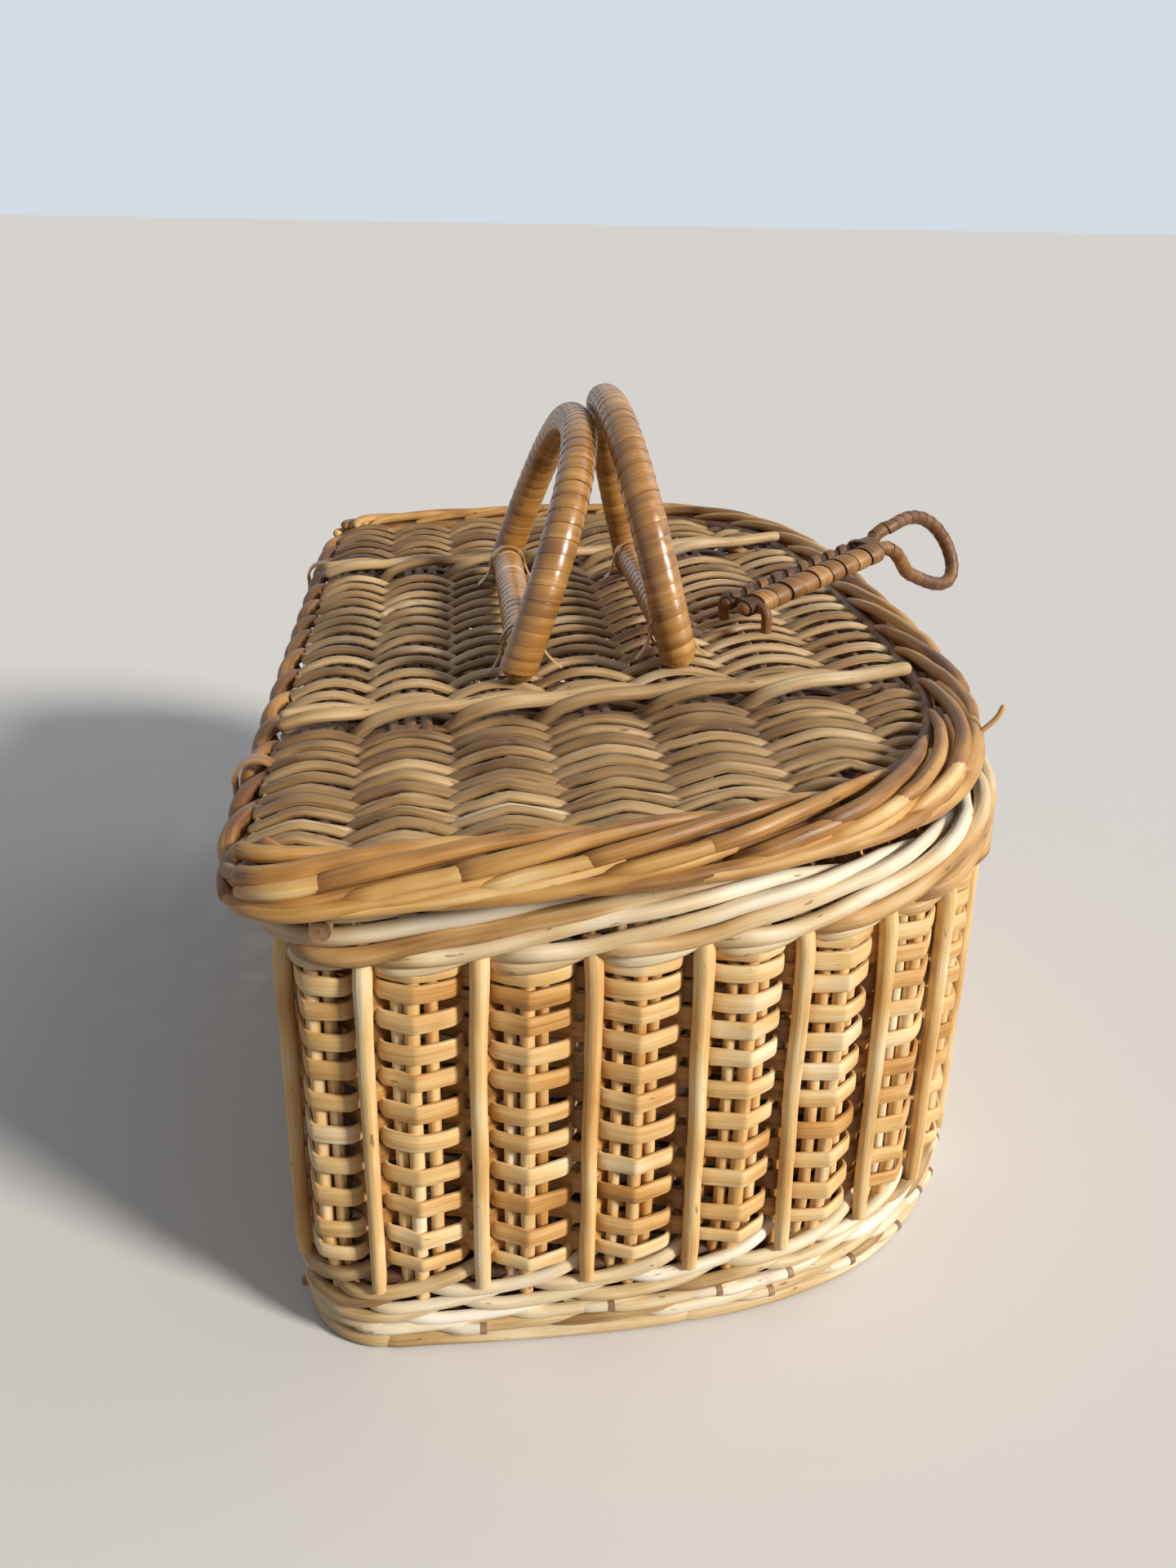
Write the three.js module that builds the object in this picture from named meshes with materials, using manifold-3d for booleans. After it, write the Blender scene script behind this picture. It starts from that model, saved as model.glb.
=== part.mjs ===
// Lidded wicker basket with a D-shaped plan, two folding ring handles and a cane latch.
// Units are millimetres. +X runs along the length, +Y points to the hinge, +Z is up.
// The origin is on the floor, at the centre of the underside of the base.
import * as THREE from "three";
import { mergeVertices } from "three/addons/utils/BufferGeometryUtils.js";
import Module from "manifold-3d";

const wasm = await Module();
wasm.setup();

// Clearances
const gap = 0.3; // between two pieces that touch
const runningGap = 0.4; // round a piece that turns

// Plan of the basket, along the line on which the outer stakes stand
const stakeLineHalfLength = 181;
const stakeLineHalfDepth = 107;
const backCornerRadius = 27;
const frontFullness = 3.4; // exponent of the curve round the front: 2 is an ellipse

// Foot, base, wall and rim, from the floor upwards
const footHeight = 24;
const footOut = 0.5; // beyond the stake line
const footIn = 11; // inside the stake line
const footRounding = 5;
const baseThickness = 9;
const wallHeight = 100.5;
const wallHollow = 3; // the wall's outer face behind a stake, inside the stake line
const wallBulge = 5.2; // how far the wall swells outward between two stakes
const wallIn = 10; // the wall's inner face, inside the stake line
const wallGroove = 0.6; // between the strips, inside the hollows behind the stakes
const stripCount = 10;
const stripHeight = 6.3;
const stripDrop = 1.8; // from the underside of the rim to the middle of the top strip
const stripPitch = 7.42; // from the top strip to the next
const stripGrowth = 0.42; // by which each lower pitch is larger
const rimHeight = 18.5;
const rimOut = 5;
const rimIn = 9;
const rimRounding = 6;

// Outer stakes
const stakeCount = 36;
const stakeRadius = 2.6;
const stakeStart = 0.75; // of a bay, from the middle of the back to the first stake

// Rod inside the back of the rim
const railRadius = 4.5;
const railHeight = 12; // its axis above the underside of the rim
const railProud = 2.5; // past the rim at each end

// Hinge
const hingeOut = 8.5; // the hinge axis beyond the stake line
const hingeRodRadius = 4;
const hingeRodInset = 9; // the rod's ends inside the lid's ends
const hingeLoopRadius = 1.3; // half the thickness of the cane
const hingeLoopSpacing = 230;
const hingeLoopDepth = 9; // how far a loop reaches into the rim

// Lid
const lidTilt = 3.4; // degrees that its front stands up
const lidEndOverhang = 13.5; // past the rim at each end
const lidFrontInset = 12; // its front edge inside the rim
const lidCornerRadius = 26;
const lidInnerCornerRadius = 5; // of the panel and of the inside of its border
const lidFullness = 3.7;
const lidThickness = 10;
const lidTop = 8.2; // its upper face above the hinge axis
const lidBorderWidth = 17;
const lidBorderRise = 2; // above the upper face
const lidBorderDrop = 1.8; // below the lower face
const lidBorderRounding = 5;

// Weave of the lid: rods across it that arch over groups of sticks, in columns along it
const weaveDepth = 3.9; // from the top of an arch to the hollows round it
const weaveFirstColumn = 24.7; // width of the column next to the hinge
const weaveColumnGrowth = 1.33; // by which each next column is wider
const weaveRodPitch = 6.5;
const weaveNearRodPitch = 4.6; // nearer than the near band
const weaveRodFoot = 5.2; // width of an arch at its foot
const weaveArchTop = 0.6; // its size at the top, as a share of its foot
const weaveMargin = 1.5; // between arches, and to the panel's edges
const weaveShortest = 9; // length of the shortest arch
const seatHalf = 3.4; // half the place on which a cane stands on the lid

// Raised bands across the lid
const bandSpacing = 183;
const bandWidth = 15;
const bandHeight = 3;
const bandRounding = 1.2;
const bandEndGap = 3; // from the hinge rod, and from the border at the front

// Handles
const handleTubeRadius = 6;
const handleBarRadius = 5.6;
const handleTieRadius = 1.1;
const handleTieInset = 6; // from the bar's end
const handlesFromHinge = 101.8; // to the middle between the two bars
const handleSpacing = 47.8;
const handleX = -3; // the middle of both handles
const handleFullness = 2.4;
const handleFootDepth = 4.3; // the tube's end below the bar's axis
const backHandleHalfSpan = 65.5;
const backHandleShortfall = 2; // its height less than the front one's
const frontHandleHalfSpan = 62;
const frontHandleHeight = 66;
const frontHandleLean = 10.4; // degrees from square to the lid, towards the hinge

// Latch
const latchX = -27;
const latchFromHandle = 29.8; // its pivot in front of the front handle's bar
const latchSwing = 30; // degrees from straight out, towards +X
const latchRise = 8; // degrees from the lid's upper face
const latchPivotHeight = 8; // above the lid's upper face
const stapleRadius = 2;
const strapShortfall = 7.3; // its end short of the lid's front edge
const strapWidth = 17;
const strapThickness = 9;
const strapRounding = 2;
const loopLength = 39.5;
const loopHalfWidth = 13;
const loopWidest = 0.72; // share of its length from the strap
const loopFullness = 1.3; // the lower, the sooner it widens
const loopNeck = 3; // half the distance between its two legs at the strap
const loopTubeRadius = 2.5;
const loopDroop = 20; // degrees below the strap
const loopTwist = 70; // degrees about its own length
const loopBendLength = 14; // over which it droops and twists

// Catch on the front of the rim
const pegRadius = 3.2;
const pegProud = 12;
const pegDepth = 8; // inside the rim
const pegHeight = 9; // above the underside of the rim
const pegRise = 15; // degrees

// How finely the curves are stepped
const lineSteps = 720;
const cornerSteps = 60;
const planPoints = 56;
const bendLength = 300; // a radian of bend takes as many points as this length
const baySteps = 4; // of the wall between two stakes
const bevelSteps = 2;
const tubeSides = 12;
const caneSides = 8;
const hoopSteps = 28;
const loopSteps = 32;
const eyeSteps = 16;
const straightAngle = 1e-3; // radians between two steps that count as one straight line
const mergeTolerance = 1e-4;

// Sizes that follow
const rimUnder = footHeight + wallHeight;
const rimTop = rimUnder + rimHeight;
const hingeY = stakeLineHalfDepth + hingeOut;
const hingeZ = rimTop + gap + hingeRodRadius;
const lidHalfLength = stakeLineHalfLength + rimOut + lidEndOverhang;
const lidFront = -(stakeLineHalfDepth + rimOut - lidFrontInset);
const lidBack = hingeRodRadius + gap; // the lid's back edge in front of the hinge axis
const backHandleY = handleSpacing / 2 - handlesFromHinge;
const frontHandleY = backHandleY - handleSpacing;
const backHandleHeight = frontHandleHeight - backHandleShortfall;
const latchY = frontHandleY - latchFromHandle;
const rad = THREE.MathUtils.degToRad;
const strapLength = (latchY - (lidFront - hingeY)) / Math.cos(rad(latchSwing)) - strapShortfall;

function wicker(color, roughness) {
  return new THREE.MeshStandardMaterial({ color, roughness, metalness: 0 });
}

const goldenWillow = wicker(0xc99c60, 0.62);
const paleWillow = wicker(0xd8bd8d, 0.6);
const rimWillow = wicker(0xcaa878, 0.6);
const lidWillow = wicker(0xbf9c6d, 0.62);
const brownWillow = wicker(0xa8763e, 0.58);
const glossyCane = wicker(0xbf8a46, 0.32);
const darkCane = wicker(0x96683a, 0.45);

// Lines in the plan

// Walks a closed line in equal shares of its length plus what weigh gives for each step,
// from a start given in those shares
function walkLine(points, count, start, weigh) {
  const sums = [0];
  points.forEach((point, i) => {
    const next = points[(i + 1) % points.length];
    sums.push(sums[i] + point.distanceTo(next) + weigh(i));
  });
  const total = sums[points.length];
  const line = [];
  let at = 0;
  for (let k = 0; k < count; k += 1) {
    const target = (total * ((k + start) / count)) % total;
    if (target < sums[at]) at = 0;
    while (sums[at + 1] <= target) at += 1;
    const share = (target - sums[at]) / (sums[at + 1] - sums[at]);
    line.push(points[at].clone().lerp(points[(at + 1) % points.length], share));
  }
  return line;
}

function evenLine(points, count, start = 0) {
  return walkLine(points, count, start, () => 0);
}

function tangentAt(line, i) {
  const before = line[(i + line.length - 1) % line.length];
  return line[(i + 1) % line.length].clone().sub(before).normalize();
}

// Fewer points, close together where the line bends and none where it is straight
function thinLine(line, count) {
  const turn = (i) => tangentAt(line, i).angleTo(tangentAt(line, (i + 1) % line.length));
  const thin = walkLine(line, count, 0, (i) => turn(i) * bendLength);
  return thin.filter((point, i) => {
    const before = point.clone().sub(thin[(i + thin.length - 1) % thin.length]);
    const after = thin[(i + 1) % thin.length].clone().sub(point);
    return before.angleTo(after) > straightAngle;
  });
}

// A line moved outward, by a distance that may depend on the share of the way round
function offsetLine(line, distanceAt) {
  return line.map((point, i) => {
    const along = tangentAt(line, i);
    const out = distanceAt(i / line.length);
    return new THREE.Vector2(point.x + along.y * out, point.y - along.x * out);
  });
}

// Where the front curve of a D lies at a given x
function frontCurve(plan, x) {
  const shoulder = plan.back - plan.cornerRadius;
  const fall = (1 - Math.abs(x / plan.halfLength) ** plan.fullness) ** (1 / plan.fullness);
  return shoulder - (shoulder - plan.front) * fall;
}

// A D anticlockwise from above, from the middle of its straight back: two round corners
// and half a superellipse round the front
function dLine(plan) {
  const shoulder = plan.back - plan.cornerRadius;
  const points = [new THREE.Vector2(0, plan.back)];
  const addCorner = (side, from, to) => {
    for (let i = 0; i <= cornerSteps; i += 1) {
      const angle = THREE.MathUtils.lerp(from, to, i / cornerSteps);
      const x = side * (plan.halfLength - plan.cornerRadius) + plan.cornerRadius * Math.cos(angle);
      points.push(new THREE.Vector2(x, shoulder + plan.cornerRadius * Math.sin(angle)));
    }
  };
  addCorner(-1, Math.PI / 2, Math.PI);
  for (let i = 1; i < lineSteps; i += 1) {
    const cosine = Math.cos((Math.PI * i) / lineSteps);
    const x = -plan.halfLength * Math.sign(cosine) * Math.abs(cosine) ** (2 / plan.fullness);
    points.push(new THREE.Vector2(x, frontCurve(plan, x)));
  }
  addCorner(1, 0, Math.PI / 2);
  return evenLine(points, lineSteps);
}

const stakePlan = {
  halfLength: stakeLineHalfLength,
  back: stakeLineHalfDepth,
  front: -stakeLineHalfDepth,
  cornerRadius: backCornerRadius,
  fullness: frontFullness,
};
const stakeLine = dLine(stakePlan);

// The basket's plan at a distance outside the stake line, or inside it where negative
function planOutline(out) {
  return thinLine(offsetLine(stakeLine, () => out), planPoints);
}

// The lid's plan, drawn in at the ends and the front. It reaches to the back of the hinge
// rod, and the lid's pieces are cut off in front of that rod.
function lidPlan(inset, cornerRadius) {
  return {
    halfLength: lidHalfLength - inset,
    back: hingeY + hingeRodRadius,
    front: lidFront + inset,
    cornerRadius,
    fullness: lidFullness,
  };
}

function lidOutline(inset, cornerRadius) {
  return thinLine(dLine(lidPlan(inset, cornerRadius)), planPoints);
}

// Solids

// One closed body with shared vertices, and without the triangles that merging makes flat
function closedGeometry(geometry) {
  const bare = geometry.clone();
  bare.deleteAttribute("normal");
  bare.deleteAttribute("uv");
  const closed = mergeVertices(bare, mergeTolerance);
  const corners = closed.index.array;
  const kept = [];
  for (let i = 0; i < corners.length; i += 3) {
    const triangle = [...corners.slice(i, i + 3)];
    if (new Set(triangle).size === 3) kept.push(...triangle);
  }
  closed.setIndex(kept);
  return closed;
}

function toManifold(geometry) {
  const closed = closedGeometry(geometry);
  const mesh = new wasm.Mesh({
    numProp: 3,
    vertProperties: new Float32Array(closed.attributes.position.array),
    triVerts: new Uint32Array(closed.index.array),
  });
  return new wasm.Manifold(mesh);
}

function fromManifold(solid) {
  const mesh = solid.getMesh();
  const geometry = new THREE.BufferGeometry();
  const positions = new Float32Array(mesh.vertProperties);
  geometry.setAttribute("position", new THREE.BufferAttribute(positions, 3));
  geometry.setIndex(new THREE.BufferAttribute(new Uint32Array(mesh.triVerts), 1));
  return geometry;
}

function cut(geometry, cutters) {
  const start = toManifold(geometry);
  return fromManifold(cutters.reduce((solid, cutter) => solid.subtract(toManifold(cutter)), start));
}

function join(geometries) {
  const solids = geometries.map(toManifold);
  return fromManifold(solids.reduce((whole, solid) => whole.add(solid)));
}

// A flat piece of the given outline with rounded edges, standing on z = 0
function slab(outline, height, rounding) {
  const piece = new THREE.ExtrudeGeometry(new THREE.Shape(outline), {
    depth: height - 2 * rounding,
    bevelEnabled: rounding > 0,
    bevelThickness: rounding,
    bevelSize: rounding,
    bevelOffset: -rounding,
    bevelSegments: bevelSteps,
  });
  return piece.translate(0, 0, rounding);
}

// What takes the inside out of a ring that stands on z = 0
function core(outline, height) {
  return slab(outline, height + 2 * gap, 0).translate(0, 0, -gap);
}

function rectangle(fromX, toX, fromY, toY) {
  return [
    new THREE.Vector2(fromX, fromY),
    new THREE.Vector2(toX, fromY),
    new THREE.Vector2(toX, toY),
    new THREE.Vector2(fromX, toY),
  ];
}

function box(fromX, toX, fromY, toY, fromZ, toZ) {
  return slab(rectangle(fromX, toX, fromY, toY), toZ - fromZ, 0).translate(0, 0, fromZ);
}

function rodAlongX(radius, halfLength, sides) {
  return new THREE.CylinderGeometry(radius, radius, 2 * halfLength, sides).rotateZ(Math.PI / 2);
}

function tube(curve, radius, sides, steps) {
  const section = new THREE.Shape();
  section.absarc(0, 0, radius, 0, 2 * Math.PI);
  const ring = section.getSpacedPoints(sides).slice(0, sides);
  return new THREE.ExtrudeGeometry(new THREE.Shape(ring), { steps, extrudePath: curve });
}

function addPiece(parent, name, geometry, material) {
  const mesh = new THREE.Mesh(closedGeometry(geometry), material);
  mesh.name = name;
  parent.add(mesh);
  return mesh;
}

const basket = new THREE.Group();

// Base and foot

function addFoot() {
  const base = slab(planOutline(-footIn - gap), baseThickness, 0);
  addPiece(basket, "base_panel", base, paleWillow);
  const foot = slab(planOutline(footOut), footHeight, footRounding);
  const ring = cut(foot, [core(planOutline(-footIn), footHeight)]);
  addPiece(basket, "foot_border", ring, paleWillow);
}

// Wall of woven strips, which swells between the stakes

function addWall() {
  const line = evenLine(stakeLine, stakeCount * baySteps, stakeStart * baySteps);
  const swell = (share) => Math.abs(Math.sin(Math.PI * share * stakeCount));
  const outer = offsetLine(line, (share) => wallBulge * swell(share) - wallHollow);
  const height = wallHeight - 2 * gap;
  const strips = [];
  for (let i = 0, drop = stripDrop; i < stripCount; i += 1) {
    const low = wallHeight - gap - drop - stripHeight / 2;
    const high = Math.min(low + stripHeight, height);
    strips.push(slab(outer, high - low, 0).translate(0, 0, low));
    drop += stripPitch + i * stripGrowth;
  }
  const plain = slab(planOutline(-wallHollow - wallGroove), height, 0);
  const wall = cut(join([plain, ...strips]), [core(planOutline(-wallIn), height)]);
  addPiece(basket, "woven_wall", wall.translate(0, 0, footHeight + gap), goldenWillow);
}

// Outer stakes, evenly round the plan

function addStakes() {
  const length = wallHeight - 2 * gap;
  evenLine(stakeLine, stakeCount, stakeStart).forEach((place, k) => {
    const stake = new THREE.CylinderGeometry(stakeRadius, stakeRadius, length, caneSides);
    const name = `outer_stake_${String(k + 1).padStart(2, "0")}`;
    const mesh = addPiece(basket, name, stake.rotateX(Math.PI / 2), goldenWillow);
    mesh.position.set(place.x, place.y, footHeight + wallHeight / 2);
  });
}

// Hinge loops of cane, round the lid's back rod and down into the rim

const hingeLoopReach = hingeRodRadius + runningGap + hingeLoopRadius;

function hingeLoop(x, radius) {
  const lowZ = rimTop - hingeLoopDepth + hingeLoopReach;
  const half = eyeSteps / 2;
  const points = [];
  for (let i = 0; i < eyeSteps; i += 1) {
    const angle = (Math.PI * (i < half ? i : i - 1)) / (half - 1);
    const z = i < half ? hingeZ : lowZ;
    const y = hingeY + hingeLoopReach * Math.cos(angle);
    points.push(new THREE.Vector3(x, y, z + hingeLoopReach * Math.sin(angle)));
  }
  const curve = new THREE.CatmullRomCurve3(points, true, "centripetal");
  return new THREE.TubeGeometry(curve, 2 * eyeSteps, radius, caneSides, true);
}

const hingeLoopPlaces = [-hingeLoopSpacing / 2, hingeLoopSpacing / 2];

// Peg for the latch, in the front of the rim

function catchPeg(radius, depth) {
  const length = pegProud + depth;
  const peg = new THREE.CylinderGeometry(radius, radius, length, tubeSides);
  peg.translate(0, (depth - pegProud) / 2, 0).rotateX(-rad(pegRise));
  return peg.translate(0, -(stakeLineHalfDepth + rimOut), rimUnder + pegHeight);
}

// Rim, bored for the rod inside its back, the hinge loops and the peg

function addRim() {
  const railY = stakeLineHalfDepth - rimIn - gap - railRadius;
  const cornerRadius = backCornerRadius + rimOut;
  const cornerY = stakeLineHalfDepth - backCornerRadius;
  const cornerReach = Math.sqrt(cornerRadius ** 2 - (railY - cornerY) ** 2);
  const rimEnd = stakeLineHalfLength - backCornerRadius + cornerReach;
  const railHalf = rimEnd + railProud;
  const rail = (radius, halfLength) =>
    rodAlongX(radius, halfLength, tubeSides).translate(0, railY, rimUnder + railHeight);
  addPiece(basket, "hinge_rail", rail(railRadius, railHalf), rimWillow);

  hingeLoopPlaces.forEach((x, i) => {
    const side = ["left", "right"][i];
    addPiece(basket, `hinge_loop_${side}`, hingeLoop(x, hingeLoopRadius), glossyCane);
  });
  addPiece(basket, "catch_peg", catchPeg(pegRadius, pegDepth), brownWillow);

  const loopBores = hingeLoopPlaces.map((x) => hingeLoop(x, hingeLoopRadius + gap));
  const bores = [rail(railRadius + gap, railHalf + railProud), ...loopBores];
  bores.push(catchPeg(pegRadius + gap, pegDepth + gap));
  bores.push(core(planOutline(-rimIn), rimHeight).translate(0, 0, rimUnder));
  const rim = slab(planOutline(rimOut), rimHeight, rimRounding).translate(0, 0, rimUnder);
  addPiece(basket, "rim_border", cut(rim, bores), rimWillow);
}

// Lid, drawn flat in a group that turns about the hinge axis

const lid = new THREE.Group();
lid.position.set(0, hingeY, hingeZ);
lid.rotation.x = -rad(lidTilt);
basket.add(lid);

// Where the bands lie on the lid, and where the ties and the latch's staple stand on it

function bandPlaces() {
  const widestX = bandSpacing / 2 + bandWidth / 2;
  const front = frontCurve(lidPlan(lidBorderWidth, lidInnerCornerRadius), widestX) - hingeY + bandEndGap;
  const back = -lidBack - bandEndGap;
  return [-1, 1].map((side) => ({ middle: (side * bandSpacing) / 2, front, back }));
}

function tiesOf(y, halfSpan) {
  const fromMiddle = halfSpan - handleTubeRadius - gap - handleTieInset;
  return [-fromMiddle, fromMiddle].map((x) => ({ x: handleX + x, y }));
}

function tiePlaces() {
  return [...tiesOf(backHandleY, backHandleHalfSpan), ...tiesOf(frontHandleY, frontHandleHalfSpan)];
}

const stapleLegY = strapWidth / 2 + gap + stapleRadius;

function staplePlaces() {
  const acrossX = Math.cos(rad(latchSwing));
  const acrossY = Math.sin(rad(latchSwing));
  return [-stapleLegY, stapleLegY].map((leg) => ({ x: latchX + leg * acrossX, y: latchY + leg * acrossY }));
}

// A flat piece of the lid between two heights over the hinge axis, cut off in front of its rod
function lidSlab(outline, low, high, rounding, cutters) {
  const piece = slab(outline, high - low, rounding).translate(0, -hingeY, low);
  const behind = box(-lidHalfLength, lidHalfLength, -lidBack, lidHalfLength, low - gap, high + gap);
  return cut(piece, [behind, ...cutters]);
}

// One arch of the weave, with sloping sides
function weaveArch(x, fromY, toY) {
  const steep = new THREE.CylinderGeometry(weaveArchTop * Math.SQRT1_2, Math.SQRT1_2, 1, 4);
  steep.rotateY(Math.PI / 4).rotateX(Math.PI / 2).scale(weaveRodFoot, toY - fromY, weaveDepth + gap);
  return steep.translate(x, (fromY + toY) / 2, lidTop - (weaveDepth + gap) / 2);
}

// The arches over one stretch of the panel. Every other rod arches over the same column.
function weaveArches(fromX, toX, pitch) {
  const plan = lidPlan(lidBorderWidth + gap, lidInnerCornerRadius);
  const count = Math.round((toX - fromX) / pitch);
  const arches = [];
  for (let row = 0; row < count; row += 1) {
    const x = fromX + ((toX - fromX) * (row + 0.5)) / count;
    const front = frontCurve(plan, Math.abs(x) + weaveRodFoot / 2) - hingeY + weaveMargin;
    let high = -lidBack;
    for (let column = 0; high > front; column += 1) {
      const width = weaveFirstColumn + column * weaveColumnGrowth;
      const from = Math.max(high - width, front) + weaveMargin / 2;
      const to = high - weaveMargin / 2;
      const over = (column + row) % 2 === 0;
      if (over && to - from > weaveShortest) arches.push(weaveArch(x, from, to));
      high -= width;
    }
  }
  return arches;
}

// A level place as high as the arches
function seat(x, y, halfX, halfY) {
  return box(x - halfX, x + halfX, y - halfY, y + halfY, lidTop - weaveDepth - gap, lidTop);
}

function lidWeave() {
  const half = lidHalfLength - lidBorderWidth - gap - weaveMargin - weaveRodFoot / 2;
  const inner = (bandSpacing - bandWidth) / 2 - weaveMargin;
  const outer = (bandSpacing + bandWidth) / 2 + weaveMargin;
  return [
    ...weaveArches(-half, -outer, weaveNearRodPitch),
    ...weaveArches(-inner, inner, weaveRodPitch),
    ...weaveArches(outer, half, weaveRodPitch),
    ...bandPlaces().map(({ middle, front, back }) =>
      seat(middle, (front + back) / 2, bandWidth / 2, (back - front) / 2),
    ),
    ...tiePlaces().map(({ x, y }) => seat(x, y, seatHalf, seatHalf)),
    ...staplePlaces().map(({ x, y }) => seat(x, y, seatHalf, seatHalf)),
  ];
}

function addLid() {
  const low = lidTop - lidThickness;
  const notchDepth = hingeLoopReach + hingeLoopRadius + runningGap;
  const notchHalf = hingeLoopRadius + runningGap;
  const notches = hingeLoopPlaces.map((x) =>
    box(x - notchHalf, x + notchHalf, -notchDepth, lidBack, low - gap, lidTop + gap),
  );
  const panelOutline = lidOutline(lidBorderWidth + gap, lidInnerCornerRadius);
  const sunk = lidSlab(panelOutline, low, lidTop - weaveDepth, 0, []);
  addPiece(lid, "lid_panel", cut(join([sunk, ...lidWeave()]), notches), lidWillow);

  const borderLow = low - lidBorderDrop;
  const borderHigh = lidTop + lidBorderRise;
  const innerOutline = lidOutline(lidBorderWidth, lidInnerCornerRadius);
  const inner = core(innerOutline, borderHigh - borderLow).translate(0, -hingeY, borderLow);
  const outline = lidOutline(0, lidCornerRadius);
  const border = lidSlab(outline, borderLow, borderHigh, lidBorderRounding, [inner]);
  addPiece(lid, "lid_border", border, brownWillow);

  const rod = rodAlongX(hingeRodRadius, lidHalfLength - hingeRodInset, tubeSides);
  addPiece(lid, "lid_hinge_rod", rod, rimWillow);
}

function addBands() {
  bandPlaces().forEach(({ middle, front, back }, i) => {
    const outline = rectangle(middle - bandWidth / 2, middle + bandWidth / 2, front, back);
    const band = slab(outline, bandHeight, bandRounding).translate(0, 0, lidTop + gap);
    addPiece(lid, ["lid_band_near", "lid_band_far"][i], band, paleWillow);
  });
}

// Handles: a ring of wrapped cane and a wrapped bar between its feet, tied to the lid

class HoopCurve extends THREE.Curve {
  constructor(halfSpan, height) {
    super();
    this.halfSpan = halfSpan;
    this.height = height;
  }

  getPoint(t, target = new THREE.Vector3()) {
    const angle = Math.PI * t;
    const cosine = Math.cos(angle);
    const power = 2 / handleFullness;
    const x = -this.halfSpan * Math.sign(cosine) * Math.abs(cosine) ** power;
    const rise = (this.height + handleFootDepth) * Math.abs(Math.sin(angle)) ** power;
    return target.set(x, 0, rise - handleFootDepth);
  }
}

function addHandle(name, y, halfSpan, height, lean) {
  const handle = new THREE.Group();
  const tieTube = handleTieRadius;
  const barZ = lidTop + gap + 2 * tieTube + gap + handleBarRadius;
  handle.position.set(handleX, y, barZ);
  handle.rotation.x = rad(lean);
  lid.add(handle);

  const hoop = tube(new HoopCurve(halfSpan, height), handleTubeRadius, tubeSides, hoopSteps);
  addPiece(handle, `${name}_hoop`, hoop, glossyCane);
  const barHalf = halfSpan - handleTubeRadius - gap;
  const bar = rodAlongX(handleBarRadius, barHalf, tubeSides);
  addPiece(handle, `${name}_bar`, bar, glossyCane);

  tiesOf(y, halfSpan).forEach((place, i) => {
    const ring = new THREE.TorusGeometry(handleBarRadius + gap + tieTube, tieTube, caneSides, eyeSteps);
    const tieName = `${name}_tie_${["near", "far"][i]}`;
    const tie = addPiece(lid, tieName, ring.rotateY(Math.PI / 2), glossyCane);
    tie.position.set(place.x, y, barZ);
  });
}

// The back handle leans until its top meets the front handle
function addHandles() {
  const reach = handleSpacing * Math.cos(rad(frontHandleLean)) - 2 * handleTubeRadius - gap;
  const backHandleLean = THREE.MathUtils.radToDeg(Math.asin(reach / backHandleHeight)) - frontHandleLean;
  addHandle("back_handle", backHandleY, backHandleHalfSpan, backHandleHeight, backHandleLean);
  addHandle("front_handle", frontHandleY, frontHandleHalfSpan, frontHandleHeight, -frontHandleLean);
}

// Latch: a laced strap of two canes on a staple, ending in a loop

class LoopCurve extends THREE.Curve {
  getPoint(t, target = new THREE.Vector3()) {
    const round = Math.PI * t;
    const share = Math.sin(round) ** 2;
    const widest = loopHalfWidth / Math.sqrt(1 - loopWidest) - loopNeck;
    const spread = widest * (share / loopWidest) ** loopFullness;
    const side = Math.cos(round) * (loopNeck + spread);
    const along = loopLength * share;
    const bent = THREE.MathUtils.smoothstep(along, 0, loopBendLength);
    const twist = rad(loopTwist) * bent;
    const fall = along * Math.tan(rad(loopDroop)) * bent;
    return target.set(along, side * Math.cos(twist), side * Math.sin(twist) - fall);
  }
}

function addLatch() {
  const latch = new THREE.Group();
  latch.position.set(latchX, latchY, lidTop + latchPivotHeight);
  latch.rotation.z = rad(latchSwing) - Math.PI / 2;
  lid.add(latch);

  const legLength = latchPivotHeight - gap;
  const pin = new THREE.CylinderGeometry(stapleRadius, stapleRadius, 2 * stapleLegY, tubeSides);
  const legs = [-stapleLegY, stapleLegY].map((y) =>
    new THREE.CylinderGeometry(stapleRadius, stapleRadius, legLength, tubeSides)
      .rotateX(Math.PI / 2)
      .translate(0, y, -legLength / 2),
  );
  const elbows = [-stapleLegY, stapleLegY].map((y) =>
    new THREE.SphereGeometry(stapleRadius, tubeSides, tubeSides / 2).translate(0, y, 0),
  );
  addPiece(latch, "latch_staple", join([pin, ...legs, ...elbows]), darkCane);

  const risen = new THREE.Group();
  risen.rotation.y = -rad(latchRise);
  latch.add(risen);
  const half = strapThickness / 2;
  const profile = new THREE.Shape();
  profile.absarc(0, 0, half, Math.PI / 2, (3 * Math.PI) / 2);
  profile.lineTo(strapLength, -half);
  profile.lineTo(strapLength, half);
  profile.closePath();
  const strap = slab(profile.extractPoints(caneSides).shape, strapWidth, strapRounding)
    .translate(0, 0, -strapWidth / 2)
    .rotateX(Math.PI / 2);
  const boreRadius = stapleRadius + runningGap;
  const bore = new THREE.CylinderGeometry(boreRadius, boreRadius, 2 * strapWidth, tubeSides);
  addPiece(risen, "latch_strap", cut(strap, [bore]), darkCane);

  const loop = tube(new LoopCurve(), loopTubeRadius, caneSides, loopSteps);
  addPiece(risen, "latch_loop", loop.translate(strapLength + gap, 0, 0), darkCane);
}

addFoot();
addWall();
addStakes();
addRim();
addLid();
addBands();
addHandles();
addLatch();

export default basket;
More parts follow.
